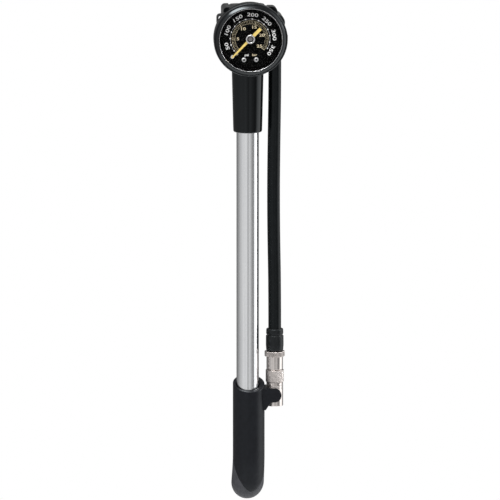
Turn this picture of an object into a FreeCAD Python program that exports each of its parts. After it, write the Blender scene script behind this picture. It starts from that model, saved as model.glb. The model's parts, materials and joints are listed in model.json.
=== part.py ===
"""Shock suspension pump: a high-pressure hand pump with a dial gauge, a swivelling hose and a
two-tone handle.  Lengths are in millimetres.  The barrel stands along +Z on the origin, the head is
at the top and the dial faces -Y.  The origin is the lowest point of the handle, on the barrel's axis.
"""
import FreeCAD
import Part
import Sketcher
import math
import os

DRIVING_SIZES = [
    # barrel, rod and piston
    ("barrelOuter", 11.6),
    ("barrelWall", 1.2),
    ("barrelLength", 189.7),
    ("rodOuter", 6.5),
    ("rodStub", 4.0),
    ("runningGap", 0.05),
    ("pistonLength", 8.0),
    ("pistonSealBar", 1.3),
    ("wearRingHeight", 2.0),
    ("topGap", 0.6),
    ("guideLip", 1.5),
    ("guideLength", 14.0),
    ("wiperHeight", 1.4),
    ("wiperDepth", 0.6),
    ("restGap", 0.3),
    # handle
    ("handleWidth", 16.4),
    ("handleDepth", 17.6),
    ("handleShift", 0.6),
    ("handleGap", 0.4),
    ("floorHeight", 26.5),
    ("rimHeight", 60.7),
    ("rimTilt", 20.0),
    ("partingHeight", 15.4),
    ("partingTilt", 63.8),
    ("capTop", 24.5),
    ("straightStart", 24.0),
    ("endRound", 9.2),
    ("endLean", 2.6),
    ("endBulge", 0.3),
    ("anchorRadius", 4.4),
    ("anchorHeight", 6.5),
    ("anchorFloor", 1.5),
    ("coreWall", 1.4),
    ("rodScrewShank", 3.0),
    ("rodScrewHead", 5.8),
    ("rodScrewHeadHeight", 2.2),
    ("screwWeb", 1.4),
    ("screwGrip", 5.5),
    ("screwRoom", 0.4),
    # hose clip
    ("clipHeight", 7.2),
    ("clipBottom", 51.4),
    ("clipGap", 0.3),
    ("clipJaw", 1.9),
    ("clipReach", 2.9),
    ("clipGusset", 4.0),
    # head
    ("collarOverlap", 24.9),
    ("collarMouth", 14.9),
    ("collarTop", 16.4),
    ("collarLength", 31.5),
    ("collarEdge", 0.6),
    ("headWidth", 18.6),
    ("headFront", 7.5),
    ("headBack", 10.0),
    ("headHeight", 34.0),
    ("headCorner", 3.5),
    ("headBlend", 11.0),
    ("headEdge", 0.6),
    ("barrelSealHeight", 0.8),
    ("seatHeight", 1.5),
    ("seatHole", 2.4),
    ("chamberRadius", 3.5),
    ("chamberHeight", 8.5),
    ("poppetRadius", 2.8),
    ("poppetHeight", 1.6),
    ("poppetGap", 0.2),
    ("poppetStem", 1.0),
    ("valveWire", 0.5),
    ("valveSpringRadius", 1.9),
    ("valveSpringHeight", 5.6),
    ("channelRadius", 1.0),
    ("channelFront", 3.2),
    # shoulders of the head
    ("crossDrop", 7.8),
    ("shoulderRise", 0.7),
    ("shoulderHeight", 13.3),
    ("leftShoulder", 4.0),
    ("leftShoulderBack", 6.0),
    ("leftShoulderRound", 2.0),
    ("shoulderNotch", 0.5),
    ("rightShoulder", 5.4),
    ("rightShoulderRound", 2.6),
    ("buttonHeight", 6.2),
    ("buttonWidth", 5.0),
    ("buttonDepth", 3.7),
    ("buttonProud", 3.0),
    ("buttonRound", 1.8),
    ("buttonWall", 0.7),
    ("buttonWindow", 2.3),
    ("buttonGap", 0.3),
    ("pocketDepth", 2.6),
    ("bleedPinRadius", 0.8),
    ("bleedHeadRadius", 1.5),
    ("bleedHeadLength", 1.0),
    ("bleedChamberRadius", 2.2),
    ("bleedChamberLength", 4.0),
    ("bleedSealBar", 0.7),
    ("bleedWire", 0.35),
    ("bleedSpringRadius", 1.6),
    # swivel
    ("eyeRadius", 4.3),
    ("eyeX", 14.3),
    ("eyeY", 2.5),
    ("eyeWidth", 7.6),
    ("eyeGap", 0.3),
    ("boltRadius", 2.0),
    ("boltHead", 6.8),
    ("boltHeadHeight", 2.2),
    ("lugSkin", 1.2),
    ("boltRingBar", 0.3),
    ("stubRadius", 3.0),
    ("stubReach", 4.8),
    ("barbRadius", 1.6),
    ("ferruleOuter", 7.6),
    ("ferruleLength", 14),
    # hose and connector
    ("hoseOuter", 6.65),
    ("hoseEnd", 89.2),
    ("connectorX", 14.27),
    ("bootOuter", 9.2),
    ("bootNeck", 8.7),
    ("bootBottom", 77.4),
    ("bootGroove", 0.35),
    ("bootGrooveHeight", 86.0),
    ("bootBarb", 2.2),
    ("flangeOuter", 10.5),
    ("flangeHeight", 2.7),
    ("polishedOuter", 8.8),
    ("polishedHeight", 6.8),
    ("knurlOuter", 9.35),
    ("knurlHeight", 6.5),
    ("sleeveOuter", 8.7),
    ("sleeveBottom", 48.8),
    ("sleeveTop", 67.7),
    ("coreRadius", 3.4),
    ("threadRadius", 3.85),
    ("threadLength", 8.5),
    ("gasketHeight", 1.0),
    ("gasketGap", 0.3),
    ("gasketHole", 1.4),
    ("depressorRadius", 0.9),
    # gauge
    ("gaugeDrop", 14.95),
    ("bezelOuter", 19.1),
    ("bezelBack", 11.0),
    ("bezelFront", 18.6),
    ("bezelLip", 16.0),
    ("bezelEdge", 0.9),
    ("caseOuter", 18.6),
    ("caseNeck", 18.0),
    ("caseInner", 17.0),
    ("caseFloor", 1.0),
    ("caseRim", 16.0),
    ("lensThickness", 1.2),
    ("lensRadius", 17.8),
    ("dialFront", 13.0),
    ("dialThickness", 0.6),
    ("dialRadius", 16.9),
    ("dialHole", 1.0),
    ("dialScrewX", 3.2),
    ("dialScrewDrop", 11.0),
    ("dialScrewHead", 1.3),
    ("dialScrewShank", 0.7),
    ("needleHeight", 14.2),
    ("needleThickness", 0.4),
    ("needleLength", 13.7),
    ("needleWidth", 1.4),
    ("needleTip", 0.7),
    ("needleTail", 7.6),
    ("tailWidth", 1.7),
    ("hubRadius", 2.45),
    ("hubFoot", 0.4),
    ("hubTop", 15.2),
    ("shaftRadius", 0.6),
    ("plateThickness", 0.5),
    ("backPlateHeight", 9.8),
    ("gearThickness", 1.0),
    ("gearGap", 0.2),
    ("gearModule", 0.1875),
    ("pivotX", 4.1),
    ("pivotDrop", 7.16),
    ("tailArm", 3.0),
    ("linkLength", 4.6),
    ("linkWidth", 1.4),
    ("linkThickness", 0.4),
    ("linkGap", 0.3),
    ("tubeRadius", 14.2),
    ("tubeWidth", 1.5),
    ("tubeHeight", 2.4),
    ("tubeRaise", 0.4),
    ("socketRadius", 4.5),
    ("socketFootHalf", 5.2),
    ("socketFootTop", 9.4),
    ("socketFootBottom", 15.2),
    ("stemRadius", 3.0),
    ("stemLength", 5.0),
    ("stemHole", 0.8),
    ("gaugeSealBar", 0.4),
    ("caseNub", 1.1),
]

HOSE_ROUTE = [  # x and z of the hose's line, chosen by hand: a slight bow between its two ends
    (14.30, 232.0),
    (14.30, 214.0),
    (13.85, 186.0),
    (13.60, 162.0),
    (13.75, 138.0),
    (14.27, 112.0),
    (14.27, 89.2),
]

PINION_TEETH = 8
SECTOR_TEETH = 80      # as if the sector went all the way round
DIAL_SWEEP = 264.4     # degrees that the needle turns

doc = FreeCAD.newDocument("ShockPump")
sheet = doc.addObject("Spreadsheet::Sheet", "Sizes")


class Size:
    """A length that is known both as a number and as an expression in the sheet's names."""

    def __init__(self, value, text):
        self.value = value
        self.text = text

    def __add__(self, other):
        other = asSize(other)
        return Size(self.value + other.value, f"({self.text} + {other.text})")

    def __sub__(self, other):
        other = asSize(other)
        return Size(self.value - other.value, f"({self.text} - {other.text})")

    def __mul__(self, other):
        other = asSize(other)
        return Size(self.value * other.value, f"({self.text} * {other.text})")

    def __truediv__(self, other):
        other = asSize(other)
        return Size(self.value / other.value, f"({self.text} / {other.text})")

    def __radd__(self, other):
        return asSize(other) + self

    def __rsub__(self, other):
        return asSize(other) - self

    def __rmul__(self, other):
        return asSize(other) * self

    def __neg__(self):
        return Size(-self.value, f"(-{self.text})")


def asSize(number):
    if isinstance(number, Size):
        return number
    return Size(float(number), f"({float(number)!r})")


def readSizes():
    """Fill the sheet, and hand back a Size for each of its names."""
    for row, (alias, number) in enumerate(DRIVING_SIZES, start=1):
        sheet.set(f"A{row}", alias)
        sheet.set(f"B{row}", str(number))
        sheet.setAlias(f"B{row}", alias)
    doc.recompute()
    return {alias: Size(float(sheet.get(alias)), f"Sizes.{alias}") for alias, _ in DRIVING_SIZES}


size = readSizes()

TURNS = {
    "up": FreeCAD.Rotation(),                                   # local Z is +Z
    "front": FreeCAD.Rotation(FreeCAD.Vector(1, 0, 0), 90),     # local Z is -Y, local Y is +Z
    "left": FreeCAD.Rotation(FreeCAD.Vector(0, 1, 0), -90),     # local Z is -X
}


def stand(item, x=0, y=0, z=0, turn="up"):
    """Place an object; each coordinate follows the sheet."""
    x, y, z = asSize(x), asSize(y), asSize(z)
    item.Placement = FreeCAD.Placement(FreeCAD.Vector(x.value, y.value, z.value), TURNS[turn])
    for axis, coordinate in (("x", x), ("y", y), ("z", z)):
        item.setExpression(f"Placement.Base.{axis}", coordinate.text)
    return item


def bind(item, **lengths):
    """Tie properties of an object to the sheet."""
    for name, length in lengths.items():
        length = asSize(length)
        setattr(item, name, length.value)
        item.setExpression(name, length.text)
    return item


def originPlane(body, role):
    return next(feature for feature in body.Origin.OriginFeatures if feature.Role == role)


def newSketch(body, plane, name, raised=None):
    sketch = body.newObject("Sketcher::SketchObject", name)
    sketch.AttachmentSupport = [(originPlane(body, plane), "")]
    sketch.MapMode = "FlatFace"
    if raised is not None:
        raised = asSize(raised)
        sketch.AttachmentOffset = FreeCAD.Placement(FreeCAD.Vector(0, 0, raised.value),
                                                    FreeCAD.Rotation())
        sketch.setExpression("AttachmentOffset.Base.z", raised.text)
    return sketch


def outline(sketch, corners):
    """Draw a closed outline. A corner is (x, y), or (x, y, r) where it is rounded."""
    count = len(corners)
    places = [FreeCAD.Vector(asSize(c[0]).value, asSize(c[1]).value, 0) for c in corners]
    entries, exits, arcs = [], [], []
    for index, corner in enumerate(corners):
        here = places[index]
        before = (places[index - 1] - here).normalize()
        after = (places[(index + 1) % count] - here).normalize()
        if len(corner) == 2:
            entries.append(here)
            exits.append(here)
            arcs.append(None)
            continue
        radius = asSize(corner[2]).value
        half = before.getAngle(after) / 2
        reach = radius / math.tan(half)
        entry = here + before * reach
        leave = here + after * reach
        centre = here + (before + after).normalize() * (radius / math.sin(half))
        leftTurn = before.cross(after).z < 0
        start, end = (entry, leave) if leftTurn else (leave, entry)
        angles = [math.atan2(p.y - centre.y, p.x - centre.x) for p in (start, end)]
        if angles[1] < angles[0]:
            angles[1] += 2 * math.pi
        entries.append(entry)
        exits.append(leave)
        arcs.append((centre, radius, angles, leftTurn))

    sides = [sketch.addGeometry(Part.LineSegment(exits[i], entries[(i + 1) % count]), False)
             for i in range(count)]
    rules, expressions = [], []

    def rule(*words, text=None):
        if text is not None:
            expressions.append((len(rules), text))
        rules.append(Sketcher.Constraint(*words))

    for index, corner in enumerate(corners):
        mark = sketch.addGeometry(Part.Point(places[index]), True)
        for kind, coordinate in (("DistanceX", corner[0]), ("DistanceY", corner[1])):
            coordinate = asSize(coordinate)
            rule(kind, -1, 1, mark, 1, coordinate.value, text=coordinate.text)
        arriving, leaving = sides[index - 1], sides[index]
        if arcs[index] is None:
            rule("Coincident", arriving, 2, mark, 1)
            rule("Coincident", leaving, 1, mark, 1)
            continue
        centre, radius, angles, leftTurn = arcs[index]
        circle = Part.Circle(centre, FreeCAD.Vector(0, 0, 1), radius)
        arc = sketch.addGeometry(Part.ArcOfCircle(circle, *angles), False)
        first, last = (1, 2) if leftTurn else (2, 1)
        rule("Tangent", arriving, 2, arc, first)
        rule("Tangent", arc, last, leaving, 1)
        rule("PointOnObject", mark, 1, arriving)
        rule("PointOnObject", mark, 1, leaving)
        rule("Radius", arc, radius, text=asSize(corner[2]).text)
    base = sketch.ConstraintCount
    sketch.addConstraint(rules)
    for offset, text in expressions:
        sketch.setExpression(f"Constraints[{base + offset}]", text)
    return sketch


def newBody(name):
    return doc.addObject("PartDesign::Body", name)


def turned(name, corners, body=None):
    """Turn an outline of (radius, height) corners about the body's own Z axis."""
    body = body or newBody(name)
    sketch = outline(newSketch(body, "XZ_Plane", name + "_section"), corners)
    feature = body.newObject("PartDesign::Revolution", name + "_turning")
    feature.Profile = sketch
    feature.ReferenceAxis = (sketch, ["V_Axis"])
    feature.Angle = 360
    return body


def padded(name, corners, thickness, body=None, raised=None):
    """Raise an outline of (x, y) corners along the body's own Z axis."""
    body = body or newBody(name)
    sketch = outline(newSketch(body, "XY_Plane", name + "_outline", raised), corners)
    feature = body.newObject("PartDesign::Pad", name + "_pad")
    feature.Profile = sketch
    bind(feature, Length=thickness)
    return body


def rod(name, radius, length, x=0, y=0, z=0, turn="up"):
    cylinder = doc.addObject("Part::Cylinder", name)
    bind(cylinder, Radius=radius, Height=length)
    return stand(cylinder, x, y, z, turn)


def ring(name, middle, bar, x=0, y=0, z=0, turn="up"):
    torus = doc.addObject("Part::Torus", name)
    bind(torus, Radius1=middle, Radius2=bar)
    return stand(torus, x, y, z, turn)


def fused(name, *items):
    fusion = doc.addObject("Part::MultiFuse", name)
    fusion.Shapes = list(items)
    return fusion


def cut(name, base, *tools):
    """Take the tools away from the base."""
    tool = tools[0] if len(tools) == 1 else fused(name + "_tools", *tools)
    result = doc.addObject("Part::Cut", name)
    result.Base = base
    result.Tool = tool
    return result


def rectangle(left, right, low, high, corner=None):
    """Corners of a rectangle, anticlockwise from its lower left."""
    extra = () if corner is None else (corner,)
    return [(left, low) + extra, (right, low) + extra, (right, high) + extra, (left, high) + extra]


# ---- places that several pieces share ----
barrelRadius = size["barrelOuter"] / 2
boreRadius = barrelRadius - size["barrelWall"]
guideBottom = size["floorHeight"] + size["restGap"]
barrelBottom = guideBottom + size["guideLip"]
barrelTop = barrelBottom + size["barrelLength"]
pistonTop = barrelTop - size["topGap"]
pistonBottom = pistonTop - size["pistonLength"]
rodRadius = size["rodOuter"] / 2
anchorBottom = size["floorHeight"] - size["anchorHeight"]
rodBottom = anchorBottom + size["anchorFloor"]
screwSeat = anchorBottom - size["screwWeb"]
sealTop = barrelTop + size["barrelSealHeight"]
seatTop = sealTop + size["seatHeight"]
chamberTop = seatTop + size["chamberHeight"]
collarBottom = barrelTop - size["collarOverlap"]
collarRise = collarBottom + size["collarLength"]
headTop = collarRise + size["headHeight"]
headHalf = size["headWidth"] / 2
gaugeZ = headTop - size["gaugeDrop"]
crossZ = headTop - size["crossDrop"]
shoulderTop = headTop + size["shoulderRise"]
shoulderFoot = shoulderTop - size["shoulderHeight"]
stubBottom = crossZ - size["stubReach"]
ferruleBottom = stubBottom - size["ferruleLength"]
lugBack = size["eyeY"] - size["eyeWidth"] / 2 - size["eyeGap"]
eyeBack = size["eyeY"] + size["eyeWidth"] / 2
sleeveRadius = size["sleeveOuter"] / 2
caseBack = size["headFront"]
caseInside = caseBack + size["caseFloor"]
dialBack = size["dialFront"] - size["dialThickness"]
gearBack = size["backPlateHeight"] + size["plateThickness"] + size["gearGap"]
gearFront = gearBack + size["gearThickness"]
frontPlateHeight = gearFront + size["gearGap"]


# ---- handle ----
def gripForm(name):
    """The whole outer form of the grip: a straight oval above and a leaning round end below."""
    halfWidth = size["handleWidth"] / 2
    halfDepth = size["handleDepth"] / 2
    shift = size["handleShift"]

    def oval(label, width, depth, x, y, z):
        ellipse = doc.addObject("Part::Ellipse", label)
        stand(ellipse, x, y, z)
        if depth.value >= width.value:
            bind(ellipse, MajorRadius=depth, MinorRadius=width)
            ellipse.Placement.Rotation = FreeCAD.Rotation(FreeCAD.Vector(0, 0, 1), 90)
        else:
            bind(ellipse, MajorRadius=width, MinorRadius=depth)
        return ellipse

    straight = doc.addObject("Part::Extrusion", name + "_straight")
    straight.Base = oval(name + "_top_oval", halfWidth, halfDepth, shift, shift, size["straightStart"])
    straight.DirMode = "Custom"
    straight.Dir = FreeCAD.Vector(0, 0, 1)
    straight.Solid = True
    bind(straight, LengthFwd=size["rimHeight"])

    def section(label, height, across):
        """One oval of the round end; its centre leans further the lower it is."""
        depth = 1 - height.value / size["straightStart"].value
        lean = 3 * depth ** 2 - 2 * depth ** 3
        return oval(label, (halfWidth + size["endBulge"] * lean) * across, halfDepth * across,
                    shift * (1 - lean),
                    shift + size["endLean"] * lean, height)

    fall = size["straightStart"] - size["endRound"]
    sideCount, endCount, lowestAngle = 5, 8, 13
    sections = [section(f"{name}_side_{step}", size["straightStart"] - fall * (step / sideCount), 1.0)
                for step in range(sideCount)]
    for step in range(endCount):
        angle = math.radians(90 - (90 - lowestAngle) * step / (endCount - 1))
        sections.append(section(f"{name}_end_{step}", size["endRound"] * (1 - math.cos(angle)),
                                math.sin(angle)))
    end = doc.addObject("Part::Loft", name + "_end")
    end.Sections = sections
    end.Solid = True
    end.Ruled = False
    return fused(name, straight, end)


def tilted(body, angle, height):
    """Tip a cutting block about the X axis and raise it."""
    body.Placement = FreeCAD.Placement(FreeCAD.Vector(0, 0, height.value),
                                       FreeCAD.Rotation(FreeCAD.Vector(1, 0, 0), angle.value))
    body.setExpression("Placement.Base.z", height.text)
    body.setExpression("Placement.Rotation.Angle", angle.text)
    return body


def makeHandle():
    reach = size["handleDepth"] * 2
    above = padded("above_rim", rectangle(-reach, reach, -reach, reach), size["rimHeight"])
    tilted(above, size["rimTilt"], size["rimHeight"])
    bore = rod("grip_bore", barrelRadius + size["handleGap"], size["rimHeight"] * 2,
               z=size["floorHeight"])
    anchorHole = rod("anchor_hole", size["anchorRadius"], size["anchorHeight"], z=anchorBottom)
    screwHole = rod("rod_screw_hole", size["rodScrewShank"] / 2, size["screwWeb"], z=screwSeat)
    headRoom = rod("rod_screw_room", size["rodScrewHead"] / 2 + size["screwRoom"],
                   size["rodScrewHeadHeight"] + size["screwRoom"],
                   z=screwSeat - size["rodScrewHeadHeight"] - size["screwRoom"])

    below = newBody("below_parting")
    sketch = outline(newSketch(below, "XY_Plane", "below_parting_outline"),
                     rectangle(-reach, reach, -reach * 2, reach * 2))
    slab = below.newObject("PartDesign::Pad", "below_parting_pad")
    slab.Profile = sketch
    slab.Reversed = True
    bind(slab, Length=reach * 2)
    tilted(below, size["partingTilt"], size["partingHeight"])
    aboveCap = stand(padded("above_cap", rectangle(-reach, reach, -reach, reach), reach * 2),
                     z=size["capTop"])
    below = cut("below_cap_top", below, aboveCap)

    coreBottom = screwSeat - size["rodScrewHeadHeight"] - size["screwRoom"]
    core = rod("grip_core", size["anchorRadius"] + size["coreWall"], size["floorHeight"] - coreBottom,
               z=coreBottom)
    upper = cut("grip_upper", gripForm("grip"), above, below)
    shell = cut("handle_shell", fused("grip_blank", upper, core), bore, anchorHole, screwHole, headRoom)
    capBlank = doc.addObject("Part::Common", "end_cap_blank")
    capBlank.Base = gripForm("cap_form")
    capBlank.Tool = below
    return [shell, cut("end_cap", capBlank, core)]


def makeClip():
    """A fork that is open to +X, with a round seat for the connector's sleeve."""
    seat = sleeveRadius + size["clipGap"]
    front = seat + size["clipJaw"]
    tip = size["connectorX"] + size["clipReach"]
    top = size["clipBottom"] + size["clipHeight"]
    middle = size["handleShift"]
    root = size["connectorX"] - seat
    jaws = padded("clip_jaws", [
        (middle, size["clipBottom"] - size["clipGusset"]),
        (root - size["clipJaw"] * 0.3, size["clipBottom"] - size["clipGusset"]),
        (root + size["clipJaw"], size["clipBottom"], size["clipJaw"]),
        (tip, size["clipBottom"], size["clipHeight"] * 0.49),
        (tip, top, size["clipHeight"] * 0.49),
        (middle, top),
    ], front * 2)
    stand(jaws, y=size["eyeY"] + front, turn="front")
    hollow = rod("clip_seat", seat, size["clipHeight"] * 3, x=size["connectorX"], y=size["eyeY"],
                 z=size["clipBottom"] - size["clipHeight"])
    mouth = padded("clip_mouth", rectangle(0, size["clipReach"] * 4, -seat, seat),
                   size["clipHeight"] * 3)
    stand(mouth, x=size["connectorX"], y=size["eyeY"], z=size["clipBottom"] - size["clipHeight"])
    return [cut("hose_clip", jaws, hollow, mouth, gripForm("clip_grip"))]


def makeRod():
    shank = size["rodScrewShank"] / 2
    anchor = turned("rod_anchor", [
        (shank, 0), (size["anchorRadius"], 0), (size["anchorRadius"], size["anchorHeight"]),
        (rodRadius, size["anchorHeight"]), (rodRadius, size["anchorFloor"]),
        (shank, size["anchorFloor"])])
    stand(anchor, z=anchorBottom)

    rise = size["screwGrip"]
    length = pistonBottom - rodBottom
    piston = turned("piston_rod", [
        (shank, 0), (rodRadius, 0), (rodRadius, length), (size["rodStub"] / 2, length),
        (size["rodStub"] / 2, length + size["pistonLength"] * 0.6),
        (0, length + size["pistonLength"] * 0.6), (0, rise), (shank, rise)])
    stand(piston, z=rodBottom)

    head = size["rodScrewHead"] / 2
    headHeight = size["rodScrewHeadHeight"]
    screw = turned("rod_screw", [
        (0, 0), (head, 0, headHeight * 0.3), (head, headHeight), (shank, headHeight),
        (shank, headHeight + size["screwWeb"] + size["anchorFloor"] + rise * 0.9),
        (0, headHeight + size["screwWeb"] + size["anchorFloor"] + rise * 0.9)])
    stand(screw, z=screwSeat - headHeight)
    return [anchor, piston, screw]


def makePiston():
    outer = boreRadius - size["runningGap"] * 2
    bar = size["pistonSealBar"] / 2
    sealMiddle = boreRadius - size["runningGap"] - bar
    sealLow = size["pistonLength"] - size["pistonSealBar"] * 2
    wearIn = outer - size["pistonSealBar"] / 2
    wearLow = size["pistonSealBar"]
    wearHigh = wearLow + size["wearRingHeight"]
    head = turned("piston_head", [
        (size["rodStub"] / 2, 0), (outer, 0), (outer, wearLow), (wearIn, wearLow),
        (wearIn, wearHigh), (outer, wearHigh), (outer, sealLow), (sealMiddle - bar, sealLow),
        (sealMiddle - bar, sealLow + bar * 2), (outer, sealLow + bar * 2),
        (outer, size["pistonLength"], size["pistonSealBar"] / 3), (0, size["pistonLength"]),
        (0, size["pistonLength"] * 0.6), (size["rodStub"] / 2, size["pistonLength"] * 0.6)])
    stand(head, z=pistonBottom)
    seal = ring("piston_seal", sealMiddle, bar, z=pistonBottom + sealLow + bar)
    wear = turned("piston_wear_ring",
                  rectangle(wearIn, boreRadius - size["runningGap"], 0, size["wearRingHeight"]))
    stand(wear, z=pistonBottom + wearLow)
    return [head, seal, wear]


# ---- barrel ----
def makeBarrel():
    tube = turned("barrel_tube", rectangle(boreRadius, barrelRadius, 0, size["barrelLength"]))
    stand(tube, z=barrelBottom)

    hole = rodRadius + size["runningGap"]
    wiperLow = size["guideLip"] + size["guideLength"] / 2
    wiperHigh = wiperLow + size["wiperHeight"]
    wiperOut = hole + size["wiperDepth"]
    guide = turned("rod_guide", [
        (hole, 0), (barrelRadius, 0), (barrelRadius, size["guideLip"]),
        (boreRadius, size["guideLip"]), (boreRadius, size["guideLip"] + size["guideLength"]),
        (hole, size["guideLip"] + size["guideLength"]), (hole, wiperHigh), (wiperOut, wiperHigh),
        (wiperOut, wiperLow), (hole, wiperLow)])
    stand(guide, z=guideBottom)
    wiper = turned("rod_wiper", rectangle(hole, wiperOut, 0, size["wiperHeight"]))
    stand(wiper, z=guideBottom + wiperLow)
    return [tube, guide, wiper]


# ---- head ----
def makeHead():
    """Neck and head in one moulding: the round neck blends into a block with rounded corners."""
    form = turned("head_form", [
        (0, 0), (size["collarMouth"] / 2, 0, size["collarEdge"]),
        (size["collarTop"] / 2, size["collarLength"]), (0, size["collarLength"])])
    neck = size["collarTop"] / 2
    lower = outline(newSketch(form, "XY_Plane", "head_lower", size["collarLength"]),
                    rectangle(-neck, neck, -size["headFront"], neck, size["headFront"] * 0.98))
    upper = outline(newSketch(form, "XY_Plane", "head_upper", size["collarLength"] + size["headBlend"]),
                    rectangle(-headHalf, headHalf, -size["headFront"], size["headBack"],
                              size["headCorner"]))
    blend = form.newObject("PartDesign::AdditiveLoft", "head_blend")
    blend.Profile = lower
    blend.Sections = [upper]
    padded("head_block", rectangle(-headHalf, headHalf, -size["headFront"], size["headBack"],
                                   size["headCorner"]),
           size["headHeight"] - size["headBlend"], body=form,
           raised=size["collarLength"] + size["headBlend"])
    stand(form, z=collarBottom)

    squareFront = padded("head_front", rectangle(-headHalf, headHalf, 0, size["headCorner"]),
                         size["headHeight"] - size["headBlend"])
    stand(squareFront, y=-size["headFront"], z=collarRise + size["headBlend"])

    lip = size["bezelOuter"] * 2
    drills = [
        rod("barrel_socket", barrelRadius, seatTop - collarBottom, z=collarBottom),
        rod("valve_chamber", size["chamberRadius"], size["chamberHeight"], z=seatTop),
        rod("rising_channel", size["channelRadius"], crossZ - chamberTop + size["channelRadius"] * 2,
            y=-size["channelFront"], z=chamberTop - size["channelRadius"]),
        rod("gauge_port", size["stemRadius"], size["stemLength"], y=size["stemLength"]
            - size["headFront"], z=gaugeZ, turn="front"),
        rod("gauge_seal_seat", size["stemRadius"] + size["gaugeSealBar"] * 2.5,
            size["gaugeSealBar"] * 2, y=size["gaugeSealBar"] * 2 - size["headFront"], z=gaugeZ,
            turn="front"),
        rod("cross_channel", size["channelRadius"], headHalf, x=headHalf, y=-size["channelFront"],
            z=crossZ, turn="left"),
        rod("bleed_chamber", size["bleedChamberRadius"], size["bleedChamberLength"],
            x=-headHalf + size["bleedChamberLength"] + size["bleedSealBar"] * 2,
            y=-size["channelFront"], z=crossZ, turn="left"),
        rod("bleed_inlet", size["channelRadius"], headHalf, y=-size["channelFront"], z=crossZ,
            turn="left"),
        rod("bleed_seal_seat", size["bleedPinRadius"] + size["bleedSealBar"], size["bleedSealBar"],
            x=-headHalf + size["bleedSealBar"], y=-size["channelFront"], z=crossZ, turn="left"),
    ]
    notches = []
    for name, side in (("left", -1), ("right", 1)):
        notch = padded(f"{name}_notch", [
            (headHalf * side - size["shoulderNotch"] * side, size["headEdge"]),
            (headHalf * side, -size["shoulderNotch"]),
            (headHalf * side + size["shoulderNotch"] * side, size["headEdge"])][::side],
            lip)
        stand(notch, y=lip / 2, z=headTop, turn="front")
        notches.append(notch)
    blank = fused("head_blank", form, squareFront)
    return [cut("head_body", blank, *drills, *notches)]


def makeCheckValve():
    seal = turned("barrel_seal", rectangle(boreRadius, barrelRadius, 0, size["barrelSealHeight"]))
    stand(seal, z=barrelTop)
    hole = size["seatHole"] / 2
    seat = turned("valve_seat", rectangle(hole, barrelRadius, 0, size["seatHeight"]))
    stand(seat, z=sealTop)
    poppetLow = seatTop + size["poppetGap"]
    stem = size["poppetStem"]
    poppet = turned("check_poppet", [
        (0, 0), (size["poppetRadius"], 0), (size["poppetRadius"], size["poppetHeight"], stem / 3),
        (stem, size["poppetHeight"]), (stem, size["poppetHeight"] * 2), (0, size["poppetHeight"] * 2)])
    stand(poppet, z=poppetLow)
    spring = coil("check_spring", size["valveSpringRadius"], size["valveWire"] / 2,
                  size["valveSpringHeight"])
    stand(spring, z=poppetLow + size["poppetHeight"] + size["valveWire"] / 2)
    return [seal, seat, poppet, spring]


def coil(name, radius, wire, height, turns=4):
    """A coil spring about the body's own Z axis; height is from wire centre to wire centre."""
    body = newBody(name)
    sketch = newSketch(body, "XZ_Plane", name + "_wire")
    circle = sketch.addGeometry(Part.Circle(FreeCAD.Vector(radius.value, 0, 0),
                                            FreeCAD.Vector(0, 0, 1), wire.value), False)
    sketch.addConstraint([
        Sketcher.Constraint("DistanceX", -1, 1, circle, 3, radius.value),
        Sketcher.Constraint("DistanceY", -1, 1, circle, 3, 0.0),
        Sketcher.Constraint("Radius", circle, wire.value)])
    sketch.setExpression("Constraints[0]", radius.text)
    sketch.setExpression("Constraints[2]", wire.text)
    helix = body.newObject("PartDesign::AdditiveHelix", name + "_helix")
    helix.Profile = sketch
    helix.ReferenceAxis = (sketch, ["V_Axis"])
    helix.Mode = "height-turns-angle"
    helix.Turns = turns
    bind(helix, Height=height)
    return body


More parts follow.
